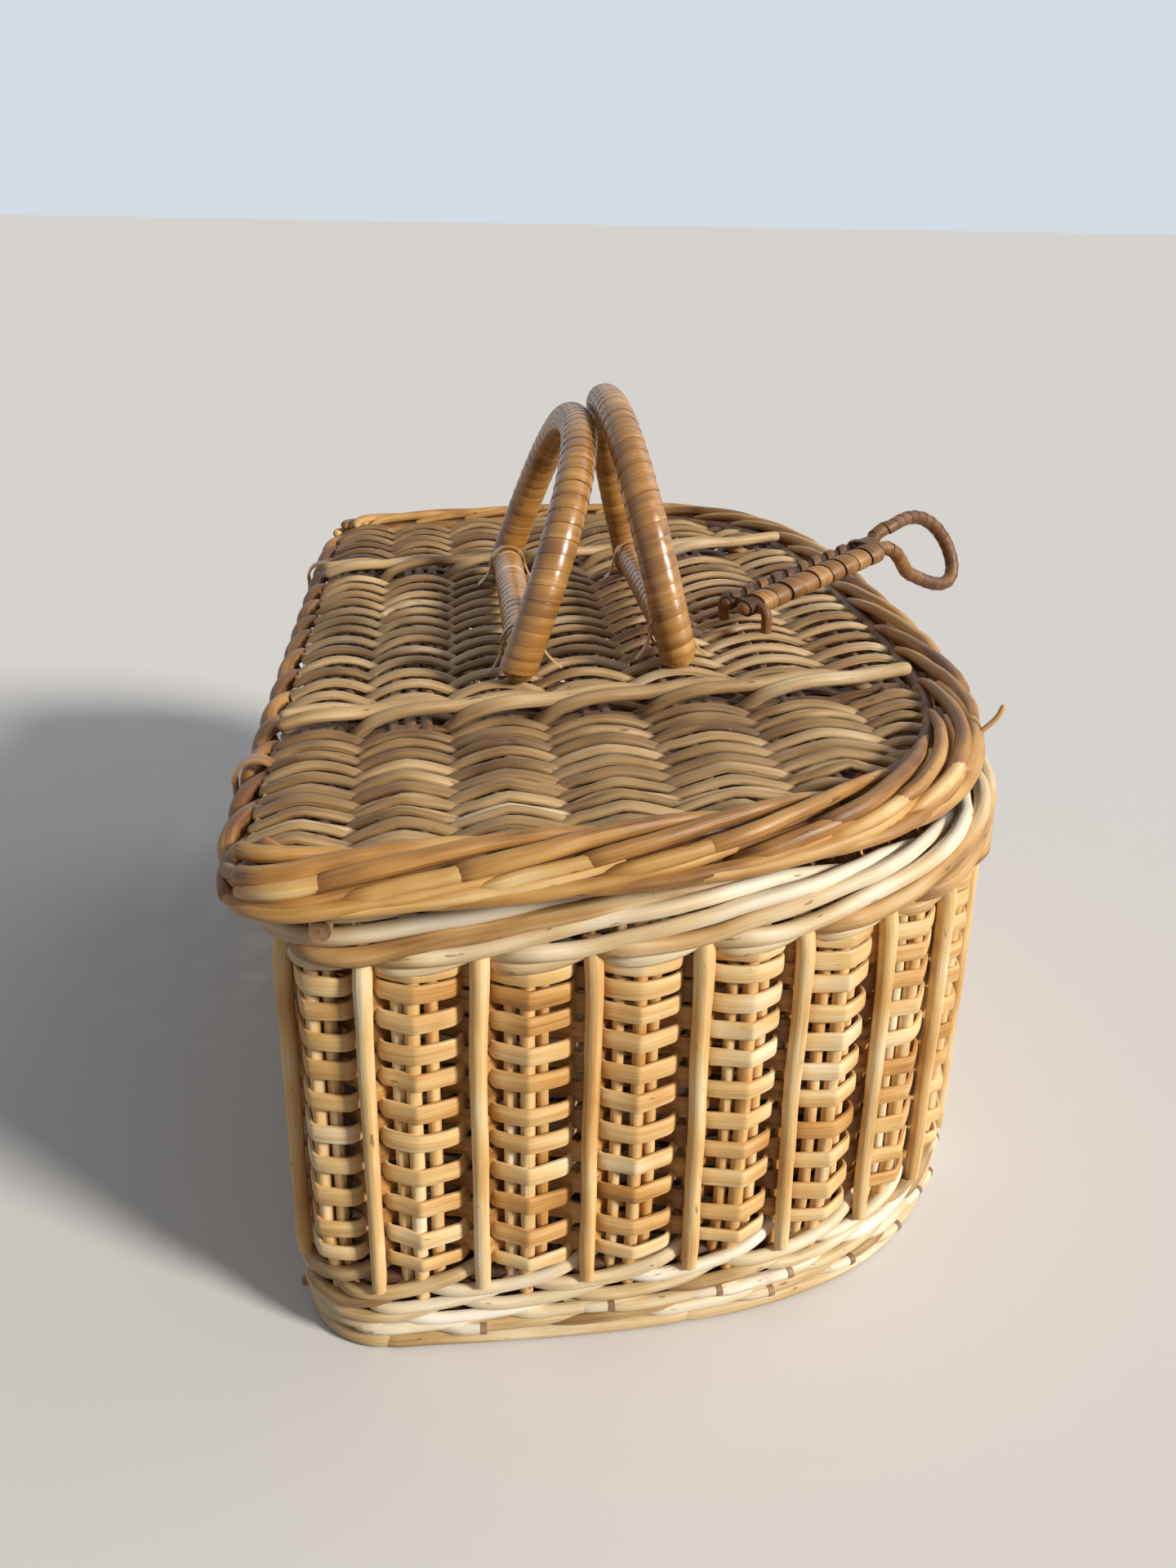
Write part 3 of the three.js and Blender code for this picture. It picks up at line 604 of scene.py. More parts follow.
# A rod of the rim. Each row: bays past its start, distance outside the stake line, height over
# the rim's underside, share of the rod's size
RIM_WEAVE = (
    (-0.30, -5.5, -0.6, 0.85), (-0.14, -3.2, 0.6, 0.95), (0.02, 0.2, 1.9, 1.03),
    (0.16, 1.9, 2.7, 1.06), (0.55, 2.2, 3.2, 1.05), (0.9, 2.1, 4.9, 1.0), (1.25, 2.0, 7.3, 1.0),
    (2.0, 1.9, 11.4, 1.0), (2.6, 1.3, 14.0, 1.0), (3.1, -0.8, 15.4, 0.96),
    (3.6, -3.8, 15.2, 0.9), (4.3, -6.2, 12.6, 0.85), (4.9, -6.4, 8.6, 0.8), (5.5, -6.2, 4.4, 0.7),
)
# A thin rod under the rim between two stakes. The first three columns as above
RIM_BOW = (
    (0.10, -4.5, -1.6), (0.22, -0.6, -1.5), (0.40, 1.2, -1.2), (0.6, 1.5, -0.3), (0.80, 0.8, 0.9),
    (0.97, -1.5, 1.6),
)


def build_rim():
    rim = Bundle()
    steps = np.concatenate([np.linspace(-0.3, 0.3, 10), np.linspace(0.4, 5.5, 42)])
    shape = flow(RIM_WEAVE, steps)
    for k in range(STAKES):
        start = k + 0.2 + rng.normal(0, 0.12)
        out = shape[:, 0] + wander(steps, 0.3, 1.9)
        z = RIM_UNDER + shape[:, 1] + wander(steps, 0.35, 2.1)
        radius = 2.5 * shape[:, 2] * rng.uniform(0.85, 1.07)
        crease_shade_fade = np.clip((steps + 0.2) / 0.5, 0, 1)
        # Each rod is darker where it comes out at its start: painted shade in the crease.
        tone = rng.normal(0.36, 0.19) - 0.35 * (1 - crease_shade_fade) + 0.26 * np.clip(steps - 1.4, 0, 1.5)
        tone = tone + wander(steps, 0.09, 1.5)
        wall_rod(rim, start + steps, out, z, radius, tone, 12, "round")
    under = np.linspace(0.10, 0.97, 12)
    shape = flow(RIM_BOW, under)
    for k in range(STAKES):
        start = k + rng.normal(0, 0.02)
        path, normals = wall_path(start + under, shape[:, 0], RIM_UNDER + shape[:, 1] - 0.2)
        thick = rng.uniform(1.5, 2.0)
        rim.strand(path, thick * 1.1, thick * 0.8, normals, rng.normal(0.66, 0.12), sides=8)
    rim.make("rim_rods", RIM, "basket", "rim_willow", ["rim_border"])


def column_edges(back, front, first, growth):
    """Where the columns of a weave part, from its back to past its front."""
    edges, width = [back], first
    while edges[-1] > front:
        edges.append(edges[-1] - width)
        width += growth
    return np.array(edges)


def row_places(low, high, pitch):
    count = round((high - low) / pitch)
    return low + (high - low) * (np.arange(count) + 0.5) / count


def arching(y, edges, row, sharp):
    """How a rod rises to 1 and falls to -1 as it passes over and under the columns."""
    column = np.clip(np.searchsorted(-edges, -y, side="right") - 1, 0, len(edges) - 2)
    share = (edges[column] - y) / (edges[column] - edges[column + 1])
    soft = np.sin(math.pi * np.clip(share, 0, 1)) ** 0.85
    creased = 1 - np.abs(2 * share - 1) ** 1.3
    over = soft + (creased - soft) * sharp
    return np.where((column + row) % 2 == 0, over, -soft)


def weave_rod(rods, x, y, edges, row, sharp, level, half, tuck=0.0, shade=0.5):
    """One rod across a panel, now and then split in two or pieced from two rods."""
    middle, swing = level
    wide, thick = half
    w = middle + swing * arching(y, edges, row, sharp) + wander(y, 0.15, 60)
    if tuck:
        w = w + np.clip((tuck + y[-1] - y) / tuck, 0, 1) * (np.minimum(w, middle) - w)
    place = x + wander(y, 0.5, 50) + 0.35 * sharp * rng.normal(0, 1)
    tone = np.minimum(rng.normal(shade, 0.12) + wander(y, 0.1, 40), 0.78)
    width = wide * rng.uniform(0.88, 1.08)
    height = thick * rng.uniform(0.92, 1.06)
    kind = rng.random()
    if kind < 0.22:
        opening = np.abs(wander(y, 0.75, 45)) + 0.5
        for side in (-1, 1):
            path = points_of(place + side * width * opening * 0.62, y, w - 0.2 * side)
            rods.strand(path, width * 0.5, height * 0.85, UP, tone + 0.06 * side)
    elif kind < 0.6:
        joint = rng.integers(4, len(y) - 4)
        for side, part in ((-1, slice(joint + 3)), (1, slice(joint - 2, None))):
            aside = side * 0.9 * (np.abs(y[part] - y[joint]) < 12)
            path = points_of(place[part] + aside, y[part], w[part] - 0.12 * side)
            rods.strand(path, width * 0.94, height, UP, tone[part] + 0.08 * side, ends="round")
    else:
        rods.strand(points_of(place, y, w), width, height, UP, tone)


def weave_sticks(sticks, plan, edges, half_length, middle, radius):
    """The groups of sticks along a panel that its rods pass over and under."""
    depth = plan["back"] - plan["corner"] - plan["front"]
    for high, low in zip(edges[:-1], edges[1:]):
        count = 3 if rng.random() < 0.6 else 2
        for offset in np.linspace(-1, 1, count) * (5.2 if count == 3 else 2.9):
            y = (high + low) / 2 + offset
            share = (plan["back"] - plan["corner"] - y) / depth
            reach = (1 - np.clip(share, 0, 1) ** plan["fullness"]) ** (1 / plan["fullness"])
            length = min(half_length, plan["half_length"] * reach - 1)
            if length < 20 or y < plan["front"] + radius:
                continue
            xs = np.linspace(-length, length, 60)
            path = points_of(xs, y + wander(xs, 0.4, 140), middle)
            tone = rng.normal(0.5, 0.16) + wander(xs, 0.1, 60)
            sticks.strand(path, radius, radius, UP, tone)


def across(plan, x, back, past=-1.0):
    """Places along a rod that crosses a panel at the given x, to past the panel's front, or
    where past is negative, to short of it."""
    front = front_curve(plan, abs(x)) - past
    return np.linspace(back, front, int((back - front) / 2.9) + 6)


def build_base():
    plan = dict(STAKE_PLAN, corner=16)
    plan["half_length"] -= BASE_INSET
    plan["back"] -= BASE_INSET
    plan["front"] += BASE_INSET
    sticks, rods = Bundle(), Bundle()
    edges = column_edges(plan["back"], plan["front"], 27.0, 0.0)
    level = (BASE_THICKNESS / 2, 2.7)
    for row, x in enumerate(row_places(-BASE_WEAVE_HALF, BASE_WEAVE_HALF, 5.2)):
        weave_rod(rods, x, across(plan, x, plan["back"]), edges, row, 0, level, (2.2, 1.5))
    weave_sticks(sticks, plan, edges, BASE_WEAVE_HALF, BASE_THICKNESS / 2, 1.5)
    rods.make("base_weave", PALE, "basket", "pale_willow", ["base_panel"])
    sticks.make("base_sticks", STICK, "basket", "pale_willow", ["base_panel"])


def build_rail():
    rail, butts = Bundle(), Bundle()
    xs = np.linspace(-RAIL_HALF, RAIL_HALF, 50)
    path = points_of(xs, RAIL_Y + wander(xs, 0.1, 200), RAIL_Z)
    size = np.interp(RAIL_HALF - np.abs(xs), (0, 8, 24), (2.6, 3.2, RAIL_RADIUS - 0.1))
    rail.strand(path, size, size, UP, 0.4 + wander(xs, 0.1, 60), sides=16)
    for end in (-1, 1):
        face = points_of(end * (RAIL_HALF + np.array([-0.8, 0.1])), RAIL_Y, RAIL_Z)
        butts.strand(face, 2.64, 2.64, UP, 0.6, sides=16)
    rail.make("hinge_rail_rod", RIM, "basket", "rim_willow", ["hinge_rail"])
    butts.make("hinge_rail_butts", STICK, "basket", "rim_willow", ["hinge_rail"])


def build_hinge_loops():
    angle = np.linspace(0, 2 * math.pi * 3, 90)
    reach = 6.3
    low = HINGE_LOOP_LOW + reach - HINGE_Z
    y = HINGE_Y + reach * np.cos(angle)
    z = HINGE_Z + reach * np.sin(angle) + low * np.clip(-np.sin(angle) * 3, 0, 1)
    for side, x in (("left", -HINGE_LOOP_X), ("right", HINGE_LOOP_X)):
        loop = Bundle()
        xs = x + np.linspace(-2.6, 2.6, 90)
        path = points_of(xs, y, z)
        outward = unit(path - points_of(xs, HINGE_Y, HINGE_Z - 3))
        loop.strand(path, 1.25, 0.6, outward, rng.normal(0.5, 0.05), sides=6, box=3)
        nodes = [f"hinge_loop_{side}"]
        loop.make(f"hinge_cane_{side}", CANE, "basket", "glossy_cane", nodes)


def build_peg():
    peg = Bundle()
    t = np.linspace(0, 1, 12)
    slope = math.radians(PEG_RISE)
    depth, length = 8, 20.0
    y = PEG_Y + depth * math.cos(slope) - length * t * math.cos(slope)
    z = PEG_Z - depth * math.sin(slope) + length * t * math.sin(slope)
    radius = np.interp(t, [0, 0.75, 0.85, 1], [2.9, 2.9, 3.2, 2.9])
    peg.strand(points_of(0, y, z), radius, radius, (1, 0, 0), 0.5, sides=14, ends="round")
    peg.make("catch_peg_wood", BROWN, "basket", "brown_willow", ["catch_peg"])


# Lid

LID_PLAN = dict(
    half_length=LID_HALF_LENGTH, back=HINGE_Y + 4, front=LID_FRONT, corner=26, fullness=3.7
)
PANEL_PLAN = dict(
    half_length=LID_HALF_LENGTH - LID_BORDER, back=HINGE_Y - 4, front=LID_FRONT + LID_BORDER,
    corner=5, fullness=3.7,
)
WEAVE_BACK = HINGE_Y - 4.3
WEAVE_COLUMN = 24.7
WEAVE_GROWTH = 1.33
WEAVE_PITCH = 6.1
WEAVE_NEAR_PITCH = 3.9
WEAVE_PAST = 6.5
UNDER_PAST = 12
BAND_HALF = 7.5
UNDER_PITCH = 5.2
# The rods beneath the bands are toned dark: painted shade under the bands.
UNDER_SHADE = 0.16
WEAVE_TUCK = 12.0
lid_ring = Ring(d_line(LID_PLAN))
FLAT_LID = LID @ shift(0, -HINGE_Y, 0)


def build_lid_panel():
    sticks, rods = Bundle(), Bundle()
    edges = column_edges(WEAVE_BACK, PANEL_PLAN["front"], WEAVE_COLUMN, WEAVE_GROWTH)
    half = PANEL_PLAN["half_length"] - 0.6
    inner, outer = BAND_X - BAND_HALF - 1.5, BAND_X + BAND_HALF + 1.5

    def lay(row, x, sharp, level, size, shade):
        y = across(PANEL_PLAN, x, WEAVE_BACK, WEAVE_PAST)
        weave_rod(rods, x, y, edges, row, sharp, level, size, WEAVE_TUCK, shade)

    near = row_places(-half, -outer, WEAVE_NEAR_PITCH)
    middle = row_places(-inner, inner, WEAVE_PITCH)
    far = row_places(outer, half, WEAVE_PITCH)
    # The near, middle and far tones paint a fall of light across the lid: the far rods darker as
    # painted shade, the middle ones lighter.
    for places, shade in ((near, 0.38), (middle, 0.6), (far, 0.22)):
        for row, x in enumerate(places):
            sharp = float(np.clip((-118 - x) / 25, 0, 1))
            size = (2.7, 1.35) if x < -BAND_X else (2.6, 1.3)
            lay(row, x, sharp, (3.2, 3.8), size, shade)
    # Rods beneath each band, in a dark tone as painted shade.
    for band in (-BAND_X, BAND_X):
        low, high = band - BAND_HALF, band + BAND_HALF
        for row, x in enumerate(row_places(low - 3, high + 3, UNDER_PITCH)):
            lay(row, x, 0, (1.8, 2.4), (2.5, 1.2), UNDER_SHADE)
        for row, x in enumerate(row_places(low, high + UNDER_PAST, UNDER_PITCH)):
            lay(row + 1, x, 0, (0.2, 1.3), (2.7, 0.9), UNDER_SHADE)
    weave_sticks(sticks, PANEL_PLAN, edges, half + 3, 3.2, 2.1)
    rods.make("lid_weave", TOP, "lid", "lid_willow", ["lid_panel"], FLAT_LID)
    sticks.make("lid_sticks", STICK, "lid", "lid_willow", ["lid_panel"], FLAT_LID)


# Rods of the lid's border. Each row: bays past the start, distance inside the lid's edge,
# height over the hinge, share of the rod's size
BORDER_TOP = (
    (-0.12, 7.6, 1.2, 0.7), (0.0, 6.0, 3.2, 0.95), (0.12, 5.1, 4.9, 1.06), (0.35, 5.0, 6.3, 1.1),
    (0.7, 6.4, 7.5, 1.07), (1.1, 9.0, 8.4, 1.02), (1.5, 11.6, 8.8, 0.95), (1.85, 13.6, 8.6, 0.84),
    (2.15, 15.0, 7.8, 0.7), (2.4, 15.8, 6.6, 0.52),
)
BORDER_MIDDLE = (
    (0.2, 6.8, -0.8, 0.75), (0.36, 4.5, 0.9, 1.0), (0.65, 3.7, 2.9, 1.05), (1.1, 4.4, 4.6, 1.02),
    (1.5, 6.5, 5.9, 0.96), (1.9, 9.3, 6.9, 0.8), (2.2, 11.6, 7.3, 0.55),
)
BORDER_LOW = (
    (-0.7, 9.0, -0.4, 0.9), (-0.3, 5.4, -1.3, 1.0), (0.1, 3.3, -1.5, 1.0), (0.8, 2.6, -1.3, 1.02),
    (1.4, 2.8, -0.3, 1.0), (2.0, 4.0, 1.4, 0.95), (2.5, 6.6, 2.8, 0.8),
)
BORDER_INNER = (
    (-0.8, 10.5, 0.6, 1.0), (0.5, 8.6, 1.8, 1.0), (1.6, 9.2, 3.8, 1.0), (2.4, 12.2, 4.6, 0.9),
)
BORDER_UNDER = ((-0.5, 13.4, 0.2, 1.0), (1.0, 13.0, 0.0, 1.0), (2.6, 14.2, 1.0, 0.9))
BORDER_EDGE = ((-0.4, 16.4, 4.0, 1.0), (1.0, 16.2, 3.6, 1.0), (2.4, 17.0, 4.2, 0.8))
# Each family: its rows, its rods' size, their tone, steps along each
# The inner, under and edge families lie beneath or behind the top rods; their dark tones are painted
# shade.
BORDER_FAMILIES = (
    (BORDER_TOP, 2.2, 0.46, 40), (BORDER_MIDDLE, 2.05, 0.52, 32), (BORDER_LOW, 2.0, 0.44, 34),
    (BORDER_INNER, 2.6, 0.05, 22), (BORDER_UNDER, 2.5, 0.0, 18), (BORDER_EDGE, 2.7, 0.08, 18),
)
BORDER_BACK = 2.5
BORDER_BAY = 30.0
# A broken twig that stands out of the border's near front corner
TWIG = ((0, -133.0, -84.5, 5.0), (1, -132.6, -89.0, 8.6), (2, -132.0, -91.0, 11.6))


def build_lid_border():
    border = Bundle()
    followed = lid_ring.length * (lid_ring.points[:, 1] < HINGE_Y + BORDER_BACK).mean()
    first = 0.5 * (lid_ring.length - followed) / lid_ring.length
    last = 1 - first
    bays = int(round(lid_ring.length * (last - first) / BORDER_BAY))
    bay = (last - first) / bays
    for k in range(-2, bays + 1):
        for table, size, colour, count in BORDER_FAMILIES:
            ends = (table[0][0], table[-1][0])
            steps = np.linspace(*ends, count)
            start = k + rng.normal(0, 0.09)
            share = first + (start + steps) * bay
            keep = (share > first) & (share < last)
            if keep.sum() < 5:
                continue
            steps = steps[keep]
            shape = flow(table, steps)
            inset = shape[:, 0] + wander(steps, 0.25, 1.4)
            points, normals = lid_ring.at(share[keep], -inset)
            path = stack(points, shape[:, 1] + rng.normal(0, 0.15))
            radius = size * shape[:, 2] * rng.uniform(0.86, 1.08)
            crease_shade_fade = np.clip((steps - ends[0]) / 0.35, 0, 1)
            tip = np.clip((steps - ends[1] + 0.7) / 0.7, 0, 1)
            # Each rod is darker where it comes out at its start, as painted shade in the crease, and
            # lighter at its tip.
            tone = rng.normal(colour, 0.17) - 0.4 * (1 - crease_shade_fade) + 0.14 * tip
            tone = tone + wander(steps, 0.07, 0.9)
            up = stack(normals, 0.6)
            border.strand(path, radius, radius, up, tone, sides=10, ends="round")
    stub = flow(TWIG, np.linspace(0, 2, 8))
    border.strand(stub, 0.75, 0.75, (1, 0, 0), 0.7, sides=8, ends="round")
    border.make("lid_border_rods", BROWN, "lid", "brown_willow", ["lid_border"], FLAT_LID)


def build_hinge_pair():
    pair = Bundle()
    half = LID_HALF_LENGTH - 15
    xs = np.linspace(-half, half, 300)
    drawn_in = 4.0 * np.clip((np.abs(xs) - 150) / 35, 0, 1) ** 2
    for side in (0, 1):
        angle = 2 * math.pi * xs / 46 + side * math.pi + wander(xs, 0.25, 90)
        y = HINGE_Y - 0.3 - drawn_in + 2.5 * np.cos(angle)
        path = points_of(xs, y, 2.5 * np.sin(angle))
        # The pair's dark tone is painted shade.
        tone = rng.normal(0.12, 0.05) + wander(xs, 0.14, 60)
        size = 2.5 * (1 + wander(xs, 0.05, 50))
        pair.strand(path, size, size, UP, tone, sides=10, ends="round")
    pair.make("lid_hinge_pair", BROWN, "lid", "rim_willow", ["lid_hinge_rod"], FLAT_LID)


# A rod of a band. Each row: columns past its start, distance from the band's middle, height
BAND_WEAVE = (
    (-0.30, -1.5, 2.0), (-0.10, -4.0, 7.0), (0.10, -4.8, 9.3), (0.9, -1.0, 9.7), (1.6, 3.5, 9.3),
    (1.85, 4.6, 7.0), (2.1, 3.5, 2.4), (2.4, 0.5, 0.6), (2.7, -1.5, 2.0),
)


def build_bands():
    steps = np.linspace(-0.30, 2.4, 40)
    for name, x0 in (("near", -BAND_X), ("far", BAND_X)):
        band = Bundle()
        edges = column_edges(WEAVE_BACK + 3 * WEAVE_COLUMN, -150, WEAVE_COLUMN, 0.75)
        front = front_curve(PANEL_PLAN, x0)
        for start in range(9):
            u = start + steps + rng.normal(0, 0.04)
            y = np.interp(u, np.arange(len(edges)), edges)
            keep = (y < HINGE_Y - 5) & (y > front + 1)
            if keep.sum() < 5:
                continue
            shape = flow(BAND_WEAVE, steps[keep])
            path = points_of(x0 + shape[:, 0], y[keep], shape[:, 1])
            radius = 2.35 * rng.uniform(0.88, 1.06)
            tone = rng.normal(0.55, 0.14) + wander(y[keep], 0.08, 50)
            band.strand(path, radius * 1.05, radius * 0.9, UP, tone, sides=10, ends="round")
        nodes = [f"lid_band_{name}"]
        band.make(f"lid_wale_{name}", TOP, "lid", "pale_willow", nodes, FLAT_LID)


# Wrapped cane


WRAP_LEAN = 0.055
CORE_INSET = 0.75
# Windings: radius, pitch, the strip's half width and half thickness, its tone, steps a turn
HOOP_WRAP = (HANDLE_RADIUS - 0.5, 4.6, 2.6, 0.4, 0.5, 18)
BAR_WRAP = (BAR_RADIUS - 0.5, 5.8, 3.3, 0.4, 0.6, 18)
LOOP_WRAP = (LOOP_RADIUS - 0.4, 4.2, 2.3, 0.36, 0.42, 14)


def tube_frames(centre, hint):
    """The normals and binormals of a line. The hint is a direction that it never runs in."""
    along = unit(np.gradient(centre, axis=0))
    binormal = unit(np.cross(along, np.broadcast_to(hint, centre.shape)))
    return np.cross(binormal, along), binormal


def wrap(bundle, centre, hint, winding):
    """A strip wound round a line."""
    radius, pitch, half_width, thickness, tone, steps = winding
    normal, binormal = tube_frames(centre, hint)
    run = run_along(centre)
    turns = run[-1] / pitch
    at = np.linspace(0, 1, int(turns * steps)) * run[-1]
    turned = at / pitch
    middle = sampled(at, run, centre)
    n, b = unit(sampled(at, run, normal)), unit(sampled(at, run, binormal))
    angle = 2 * math.pi * at / pitch
    radial = n * np.cos(angle)[:, None] + b * np.sin(angle)[:, None]
    tilt = wander(turned, 0.025, 3.1) * pitch
    along = unit(np.gradient(middle, axis=0))
    path = middle + radial * radius + along * tilt[:, None]
    turn_tone = rng.normal(0, 0.08, int(turns) + 2)
    shade = tone + np.interp(turned, np.arange(len(turn_tone)), turn_tone)
    width = half_width * (1 + wander(turned, 0.03, 2.2))
    bundle.strand(path, width, thickness, radial + along * WRAP_LEAN, shade, sides=8, box=4.5)


def hoop_line(half_span, height, count=140):
    angle = np.linspace(0, math.pi, count)
    power = 2 / HANDLE_FULLNESS
    x = -half_span * signed_power(np.cos(angle), power)
    z = (height + HANDLE_FOOT) * np.abs(np.sin(angle)) ** power - HANDLE_FOOT
    line = points_of(x, 0, z)
    run = run_along(line)
    return sampled(np.linspace(0, run[-1], count), run, line)


def build_handle(name, matrix, half_span, height):
    hoop, bar, core = Bundle(), Bundle(), Bundle()
    line = hoop_line(half_span, height)
    size = HANDLE_RADIUS - CORE_INSET
    core.strand(line, size, size, (0, 1, 0), 0.5, sides=16)
    wrap(hoop, line, (0, 1, 0), HOOP_WRAP)
    for cap in (line[[1, 0]], line[[-2, -1]]):
        hoop.strand(cap, 5.5, 5.5, (0, 1, 0), 0.45, sides=16, ends="round")
    half = half_span - HANDLE_RADIUS - GAP
    rod = points_of(np.linspace(-half, half, 60), 0, 0)
    size = BAR_RADIUS - CORE_INSET
    core.strand(rod, size, size, UP, 0.5, sides=16)
    wrap(bar, rod, (0, 1, 0), BAR_WRAP)
    body = f"{name}_handle"
    nodes = [f"{body}_hoop", f"{body}_bar"]
    hoop.make(f"{name}_hoop_wrap", CANE, body, "glossy_cane", nodes[:1], matrix)
    bar.make(f"{name}_bar_wrap", CANE, body, "glossy_cane", nodes[1:], matrix)
    core.make(f"{body}_core", CORE, body, "glossy_cane", nodes, matrix)


def build_ties(name, y, half_span):
    half = half_span - HANDLE_RADIUS - GAP
    reach = BAR_RADIUS + 0.9
    angle = np.radians(np.linspace(-95, 275, 40))
    for end, sign in (("near", -1), ("far", 1)):
        tie = Bundle()
        x = HANDLE_X + sign * (half - TIE_INSET)
        middle = np.array([x, y + HINGE_Y, LID_TOP + HANDLE_SEAT])
        ring = points_of(np.linspace(-1.6, 1.6, 40), reach * np.cos(angle), reach * np.sin(angle))
        tone = rng.normal(0.6, 0.06)
        tie.strand(middle + ring, 1.7, 0.45, ring * (0, 1, 1), tone, sides=6, box=3)
        for tail in (-1, 1):
            out = rng.uniform(3, 5)
            shape = (
                (0, 0.9, 0.6, 1.0), (0.5, 1.6, 1.6, -3.2), (1.0, 2.6, out, -7.0),
                (1.3, 3.2, out + 1.6, -8.4),
            )
            bend = flow(shape, np.linspace(0, 1.3, 12))
            leg = points_of(sign * bend[:, 0], tail * (5.7 + bend[:, 1]), bend[:, 2])
            tone = rng.normal(0.9, 0.06)
            tie.strand(middle + leg, 1.6, 0.4, (0, tail, 0.4), tone, sides=6, box=3)
        nodes = [f"{name}_handle_tie_{end}"]
        tie.make(f"{name}_tie_cane_{end}", CANE, "lid", "glossy_cane", nodes, FLAT_LID)


# Latch


def loop_line(count=120):
    t = np.linspace(0, 1, count)
    share = np.sin(math.pi * t) ** 2
    widest = LOOP_HALF_WIDTH / math.sqrt(1 - LOOP_WIDEST) - LOOP_NECK
    side = np.cos(math.pi * t) * (LOOP_NECK + widest * (share / LOOP_WIDEST) ** LOOP_FULLNESS)
    along = LOOP_LENGTH * share
    bent = np.clip(along / LOOP_BEND, 0, 1)
    bent = bent * bent * (3 - 2 * bent)
    twist = math.radians(LOOP_TWIST) * bent
    fall = along * math.tan(math.radians(LOOP_DROOP)) * bent
    x = along + STRAP_LENGTH + GAP
    return points_of(x, side * np.cos(twist), side * np.sin(twist) - fall)


# The strap's two cores, side by side: place, half width, half height
LOBE = (-3.8, 3.9, 3.0)
CANE_CORE = (5.0, 2.7, 2.5)
LACE_PITCH = 6.4
LACE_START = 0.3
LACE_HALF = 0.45


def build_lacing(lacing):
    """One strip laced in eights round both cores, then wound round the strap's end."""
    turns = (STRAP_LENGTH - 1) / LACE_PITCH
    theta = np.linspace(LACE_START, LACE_START + 2 * math.pi * turns, int(turns * 40))
    phase = theta % (2 * math.pi)
    back = phase < math.pi
    angle = np.where(back, math.pi - 2 * phase, 2 * (phase - math.pi))
    centre, wide, high = (np.where(back, *pair) for pair in zip(CANE_CORE, LOBE))
    wide, high = wide + LACE_HALF, high + LACE_HALF
    y = centre + wide * np.cos(angle)
    z = high * np.sin(angle)
    outward = np.abs(np.sin(phase))
    x = (theta - LACE_START) / (2 * math.pi) * LACE_PITCH - 2.0 + 2.6 * outward
    x = x + wander(theta, 0.35, 9)
    sign = np.where(back, 1, -1)
    up = points_of(0, sign * np.cos(angle), sign * np.sin(angle))
    tone = 0.45 + wander(theta, 0.24, 7) + np.where(back, -0.1, 0.2) * outward
    half = 1.45 + np.where(back, 0.1, 1.5) * outward * (1 + wander(theta, 0.12, 11))
    lacing.strand(points_of(x, y, z), half, LACE_HALF, up, tone, box=3.5)
    collar = np.radians(np.linspace(0, 360 * 3, 100))
    x = STRAP_LENGTH - 5.5 + 5.0 * collar / collar[-1]
    ring = points_of(0, np.cos(collar), np.sin(collar))
    narrow = np.linspace(7.4, 5.2, 100)
    path = points_of(x, ring[:, 1] * narrow, ring[:, 2] * 3.9)
    lacing.strand(path, 1.1, LACE_HALF, ring, 0.4, box=3.5)


def build_latch():
    cores, lacing, loop = Bundle(), Bundle(), Bundle()
    xs = np.linspace(-3.4, STRAP_LENGTH - 2, 30)
    for y, wide, high in (LOBE, CANE_CORE):
        cores.strand(points_of(xs, y, 0), wide, high, UP, 0.4, sides=14)
        plug = points_of((-2.6, -3.4), y, 0)
        loop.strand(plug, wide * 0.8, high * 0.8, UP, 0.5, sides=14, ends="round")
    build_lacing(lacing)
    line, hint = loop_line(), (0.3, 0.2, 1)
    size = LOOP_RADIUS - 0.6
    cores.strand(line, size, size, tube_frames(line, hint)[0], 0.5, sides=12)
    wrap(loop, line, hint, LOOP_WRAP)
    lacing.make("latch_lacing", DARK, "latch", "dark_cane", ["latch_strap"], STRAP)
    cores.make("latch_cores", CORE, "latch", "dark_cane", ["latch_strap", "latch_loop"], STRAP)
    loop.make("latch_loop_wrap", DARK, "latch", "dark_cane", ["latch_loop"], STRAP)


STAPLE_TABLE = (
    (0, -10.8, -8), (1, -10.8, -1.5), (1.4, -9.6, -0.2), (2, -7, 0), (3, 7, 0),
    (3.6, 9.6, -0.2), (4, 10.8, -1.5), (5, 10.8, -8),
)


def build_staple():
    staple = Bundle()
    path = points_of(0, *flow(STAPLE_TABLE, np.linspace(0, 5, 40)).T)
    staple.strand(path, 1.8, 1.8, (1, 0, 0), 0.4, sides=10)
    staple.make("latch_staple_cane", DARK, "lid", "dark_cane", ["latch_staple"], STAPLE)


build_wall()
build_stakes()
build_foot()
build_rim()
build_base()
build_rail()
build_hinge_loops()
build_peg()
build_lid_panel()
build_lid_border()
build_hinge_pair()
build_bands()
build_handle("back", BACK_HANDLE, BACK_HALF_SPAN, BACK_HEIGHT)
build_handle("front", FRONT_HANDLE, FRONT_HALF_SPAN, FRONT_HEIGHT)
build_ties("back", BACK_Y, BACK_HALF_SPAN)
build_ties("front", FRONT_Y, FRONT_HALF_SPAN)
build_latch()
build_staple()


# Floor, light and camera


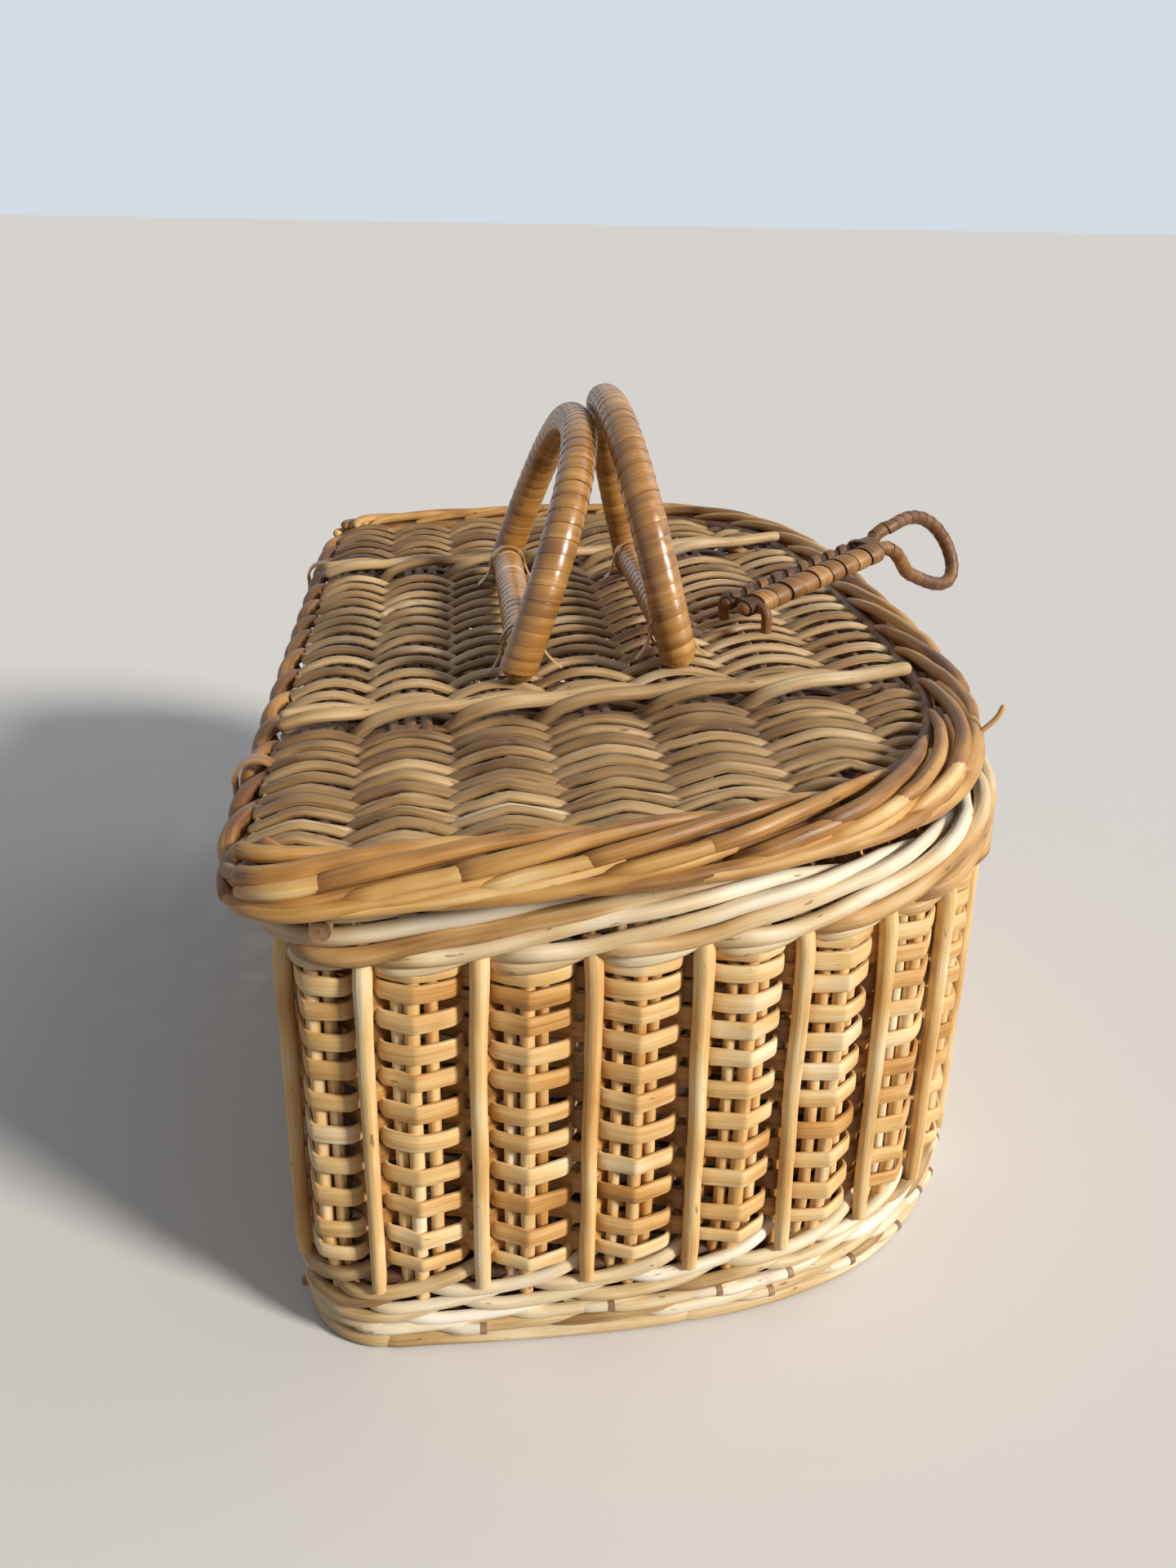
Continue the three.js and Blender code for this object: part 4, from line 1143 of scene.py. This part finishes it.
def build_stage():
    """A plain pale floor, which sends little of its light back on to the part."""
    look = Nodes(bpy.data.materials.new("floor_paint"))
    seen = look.add("BsdfDiffuse", {"Color": linear(0xE6E3DF)}).outputs[0]
    dim = look.add("BsdfDiffuse", {"Color": linear(0x8A8078)}).outputs[0]
    shown = look.of_rays("Camera", "Glossy")
    mixed = look.add("MixShader", {0: shown, 1: dim, 2: seen}).outputs[0]
    look.fill(look.tree.nodes["Material Output"], {"Surface": mixed})
    look.tree.nodes.remove(look.tree.nodes["Principled BSDF"])
    half = 30.0
    corners = [(-half, -half, 0), (half, -half, 0), (half, half, 0), (-half, half, 0)]
    mesh = bpy.data.meshes.new("floor")
    mesh.from_pydata(corners, [], [(0, 1, 2, 3)])
    mesh.materials.append(look.owner)
    floor = add_object("floor", mesh)


def build_light():
    """A soft even light from the world, shown as a pale backdrop, with a key and a fill lamp."""
    world = Nodes(bpy.data.worlds.new("studio"))
    bpy.context.scene.world = world.owner
    light = world.tree.nodes["Background"]
    world.fill(light, {"Color": (0.88, 0.93, 1.0, 1), "Strength": 0.27})
    seen = world.add("Background", {"Color": linear(0xD3DCE4)}).outputs[0]
    shown = world.of_rays("Camera", "Glossy", "Transmission")
    mixed = world.add("MixShader", {0: shown, 1: light.outputs[0], 2: seen}).outputs[0]
    world.fill(world.tree.nodes["World Output"], {"Surface": mixed})
    for name, towards, strength, softness, colour in (
        ("key", (-0.56, -0.72, 0.44), 3.85, 12, (1.0, 0.96, 0.9)),
        ("fill", (0.3, -0.75, 0.6), 0.45, 40, (0.94, 0.96, 1.0)),
    ):
        lamp = bpy.data.lights.new(name, "SUN")
        lamp.energy, lamp.angle, lamp.color = strength, math.radians(softness), colour
        holder = add_object(name, lamp)
        holder.location = towards
        holder.rotation_euler = (-Vector(towards)).to_track_quat("-Z", "Y").to_euler()


def build_camera():
    """The photo's camera: its angles in radians, its place in metres."""
    place = (-0.480243, 0.0602008, 0.295843)
    yaw, pitch, roll = -0.1021, 0.3928, 0.0183
    focal_pixels, frame_height, sensor = 1698.96, 1920, 36
    flat = math.cos(pitch)
    ahead = Vector((math.cos(yaw) * flat, math.sin(yaw) * flat, -math.sin(pitch)))
    level = ahead.cross(Vector(UP)).normalized()
    upright = level.cross(ahead)
    right = math.cos(roll) * level + math.sin(roll) * upright
    up = math.cos(roll) * upright - math.sin(roll) * level
    data = bpy.data.cameras.new("camera")
    data.sensor_width = sensor
    data.lens = focal_pixels * sensor / frame_height
    data.clip_start, data.clip_end = 0.01, 100
    camera = add_object("camera", data)
    turned = Matrix((right, up, -ahead)).transposed().to_4x4()
    camera.matrix_world = Matrix.Translation(place) @ turned
    bpy.context.scene.camera = camera


build_stage()
build_light()
build_camera()
bpy.context.scene.view_settings.view_transform = "Standard"
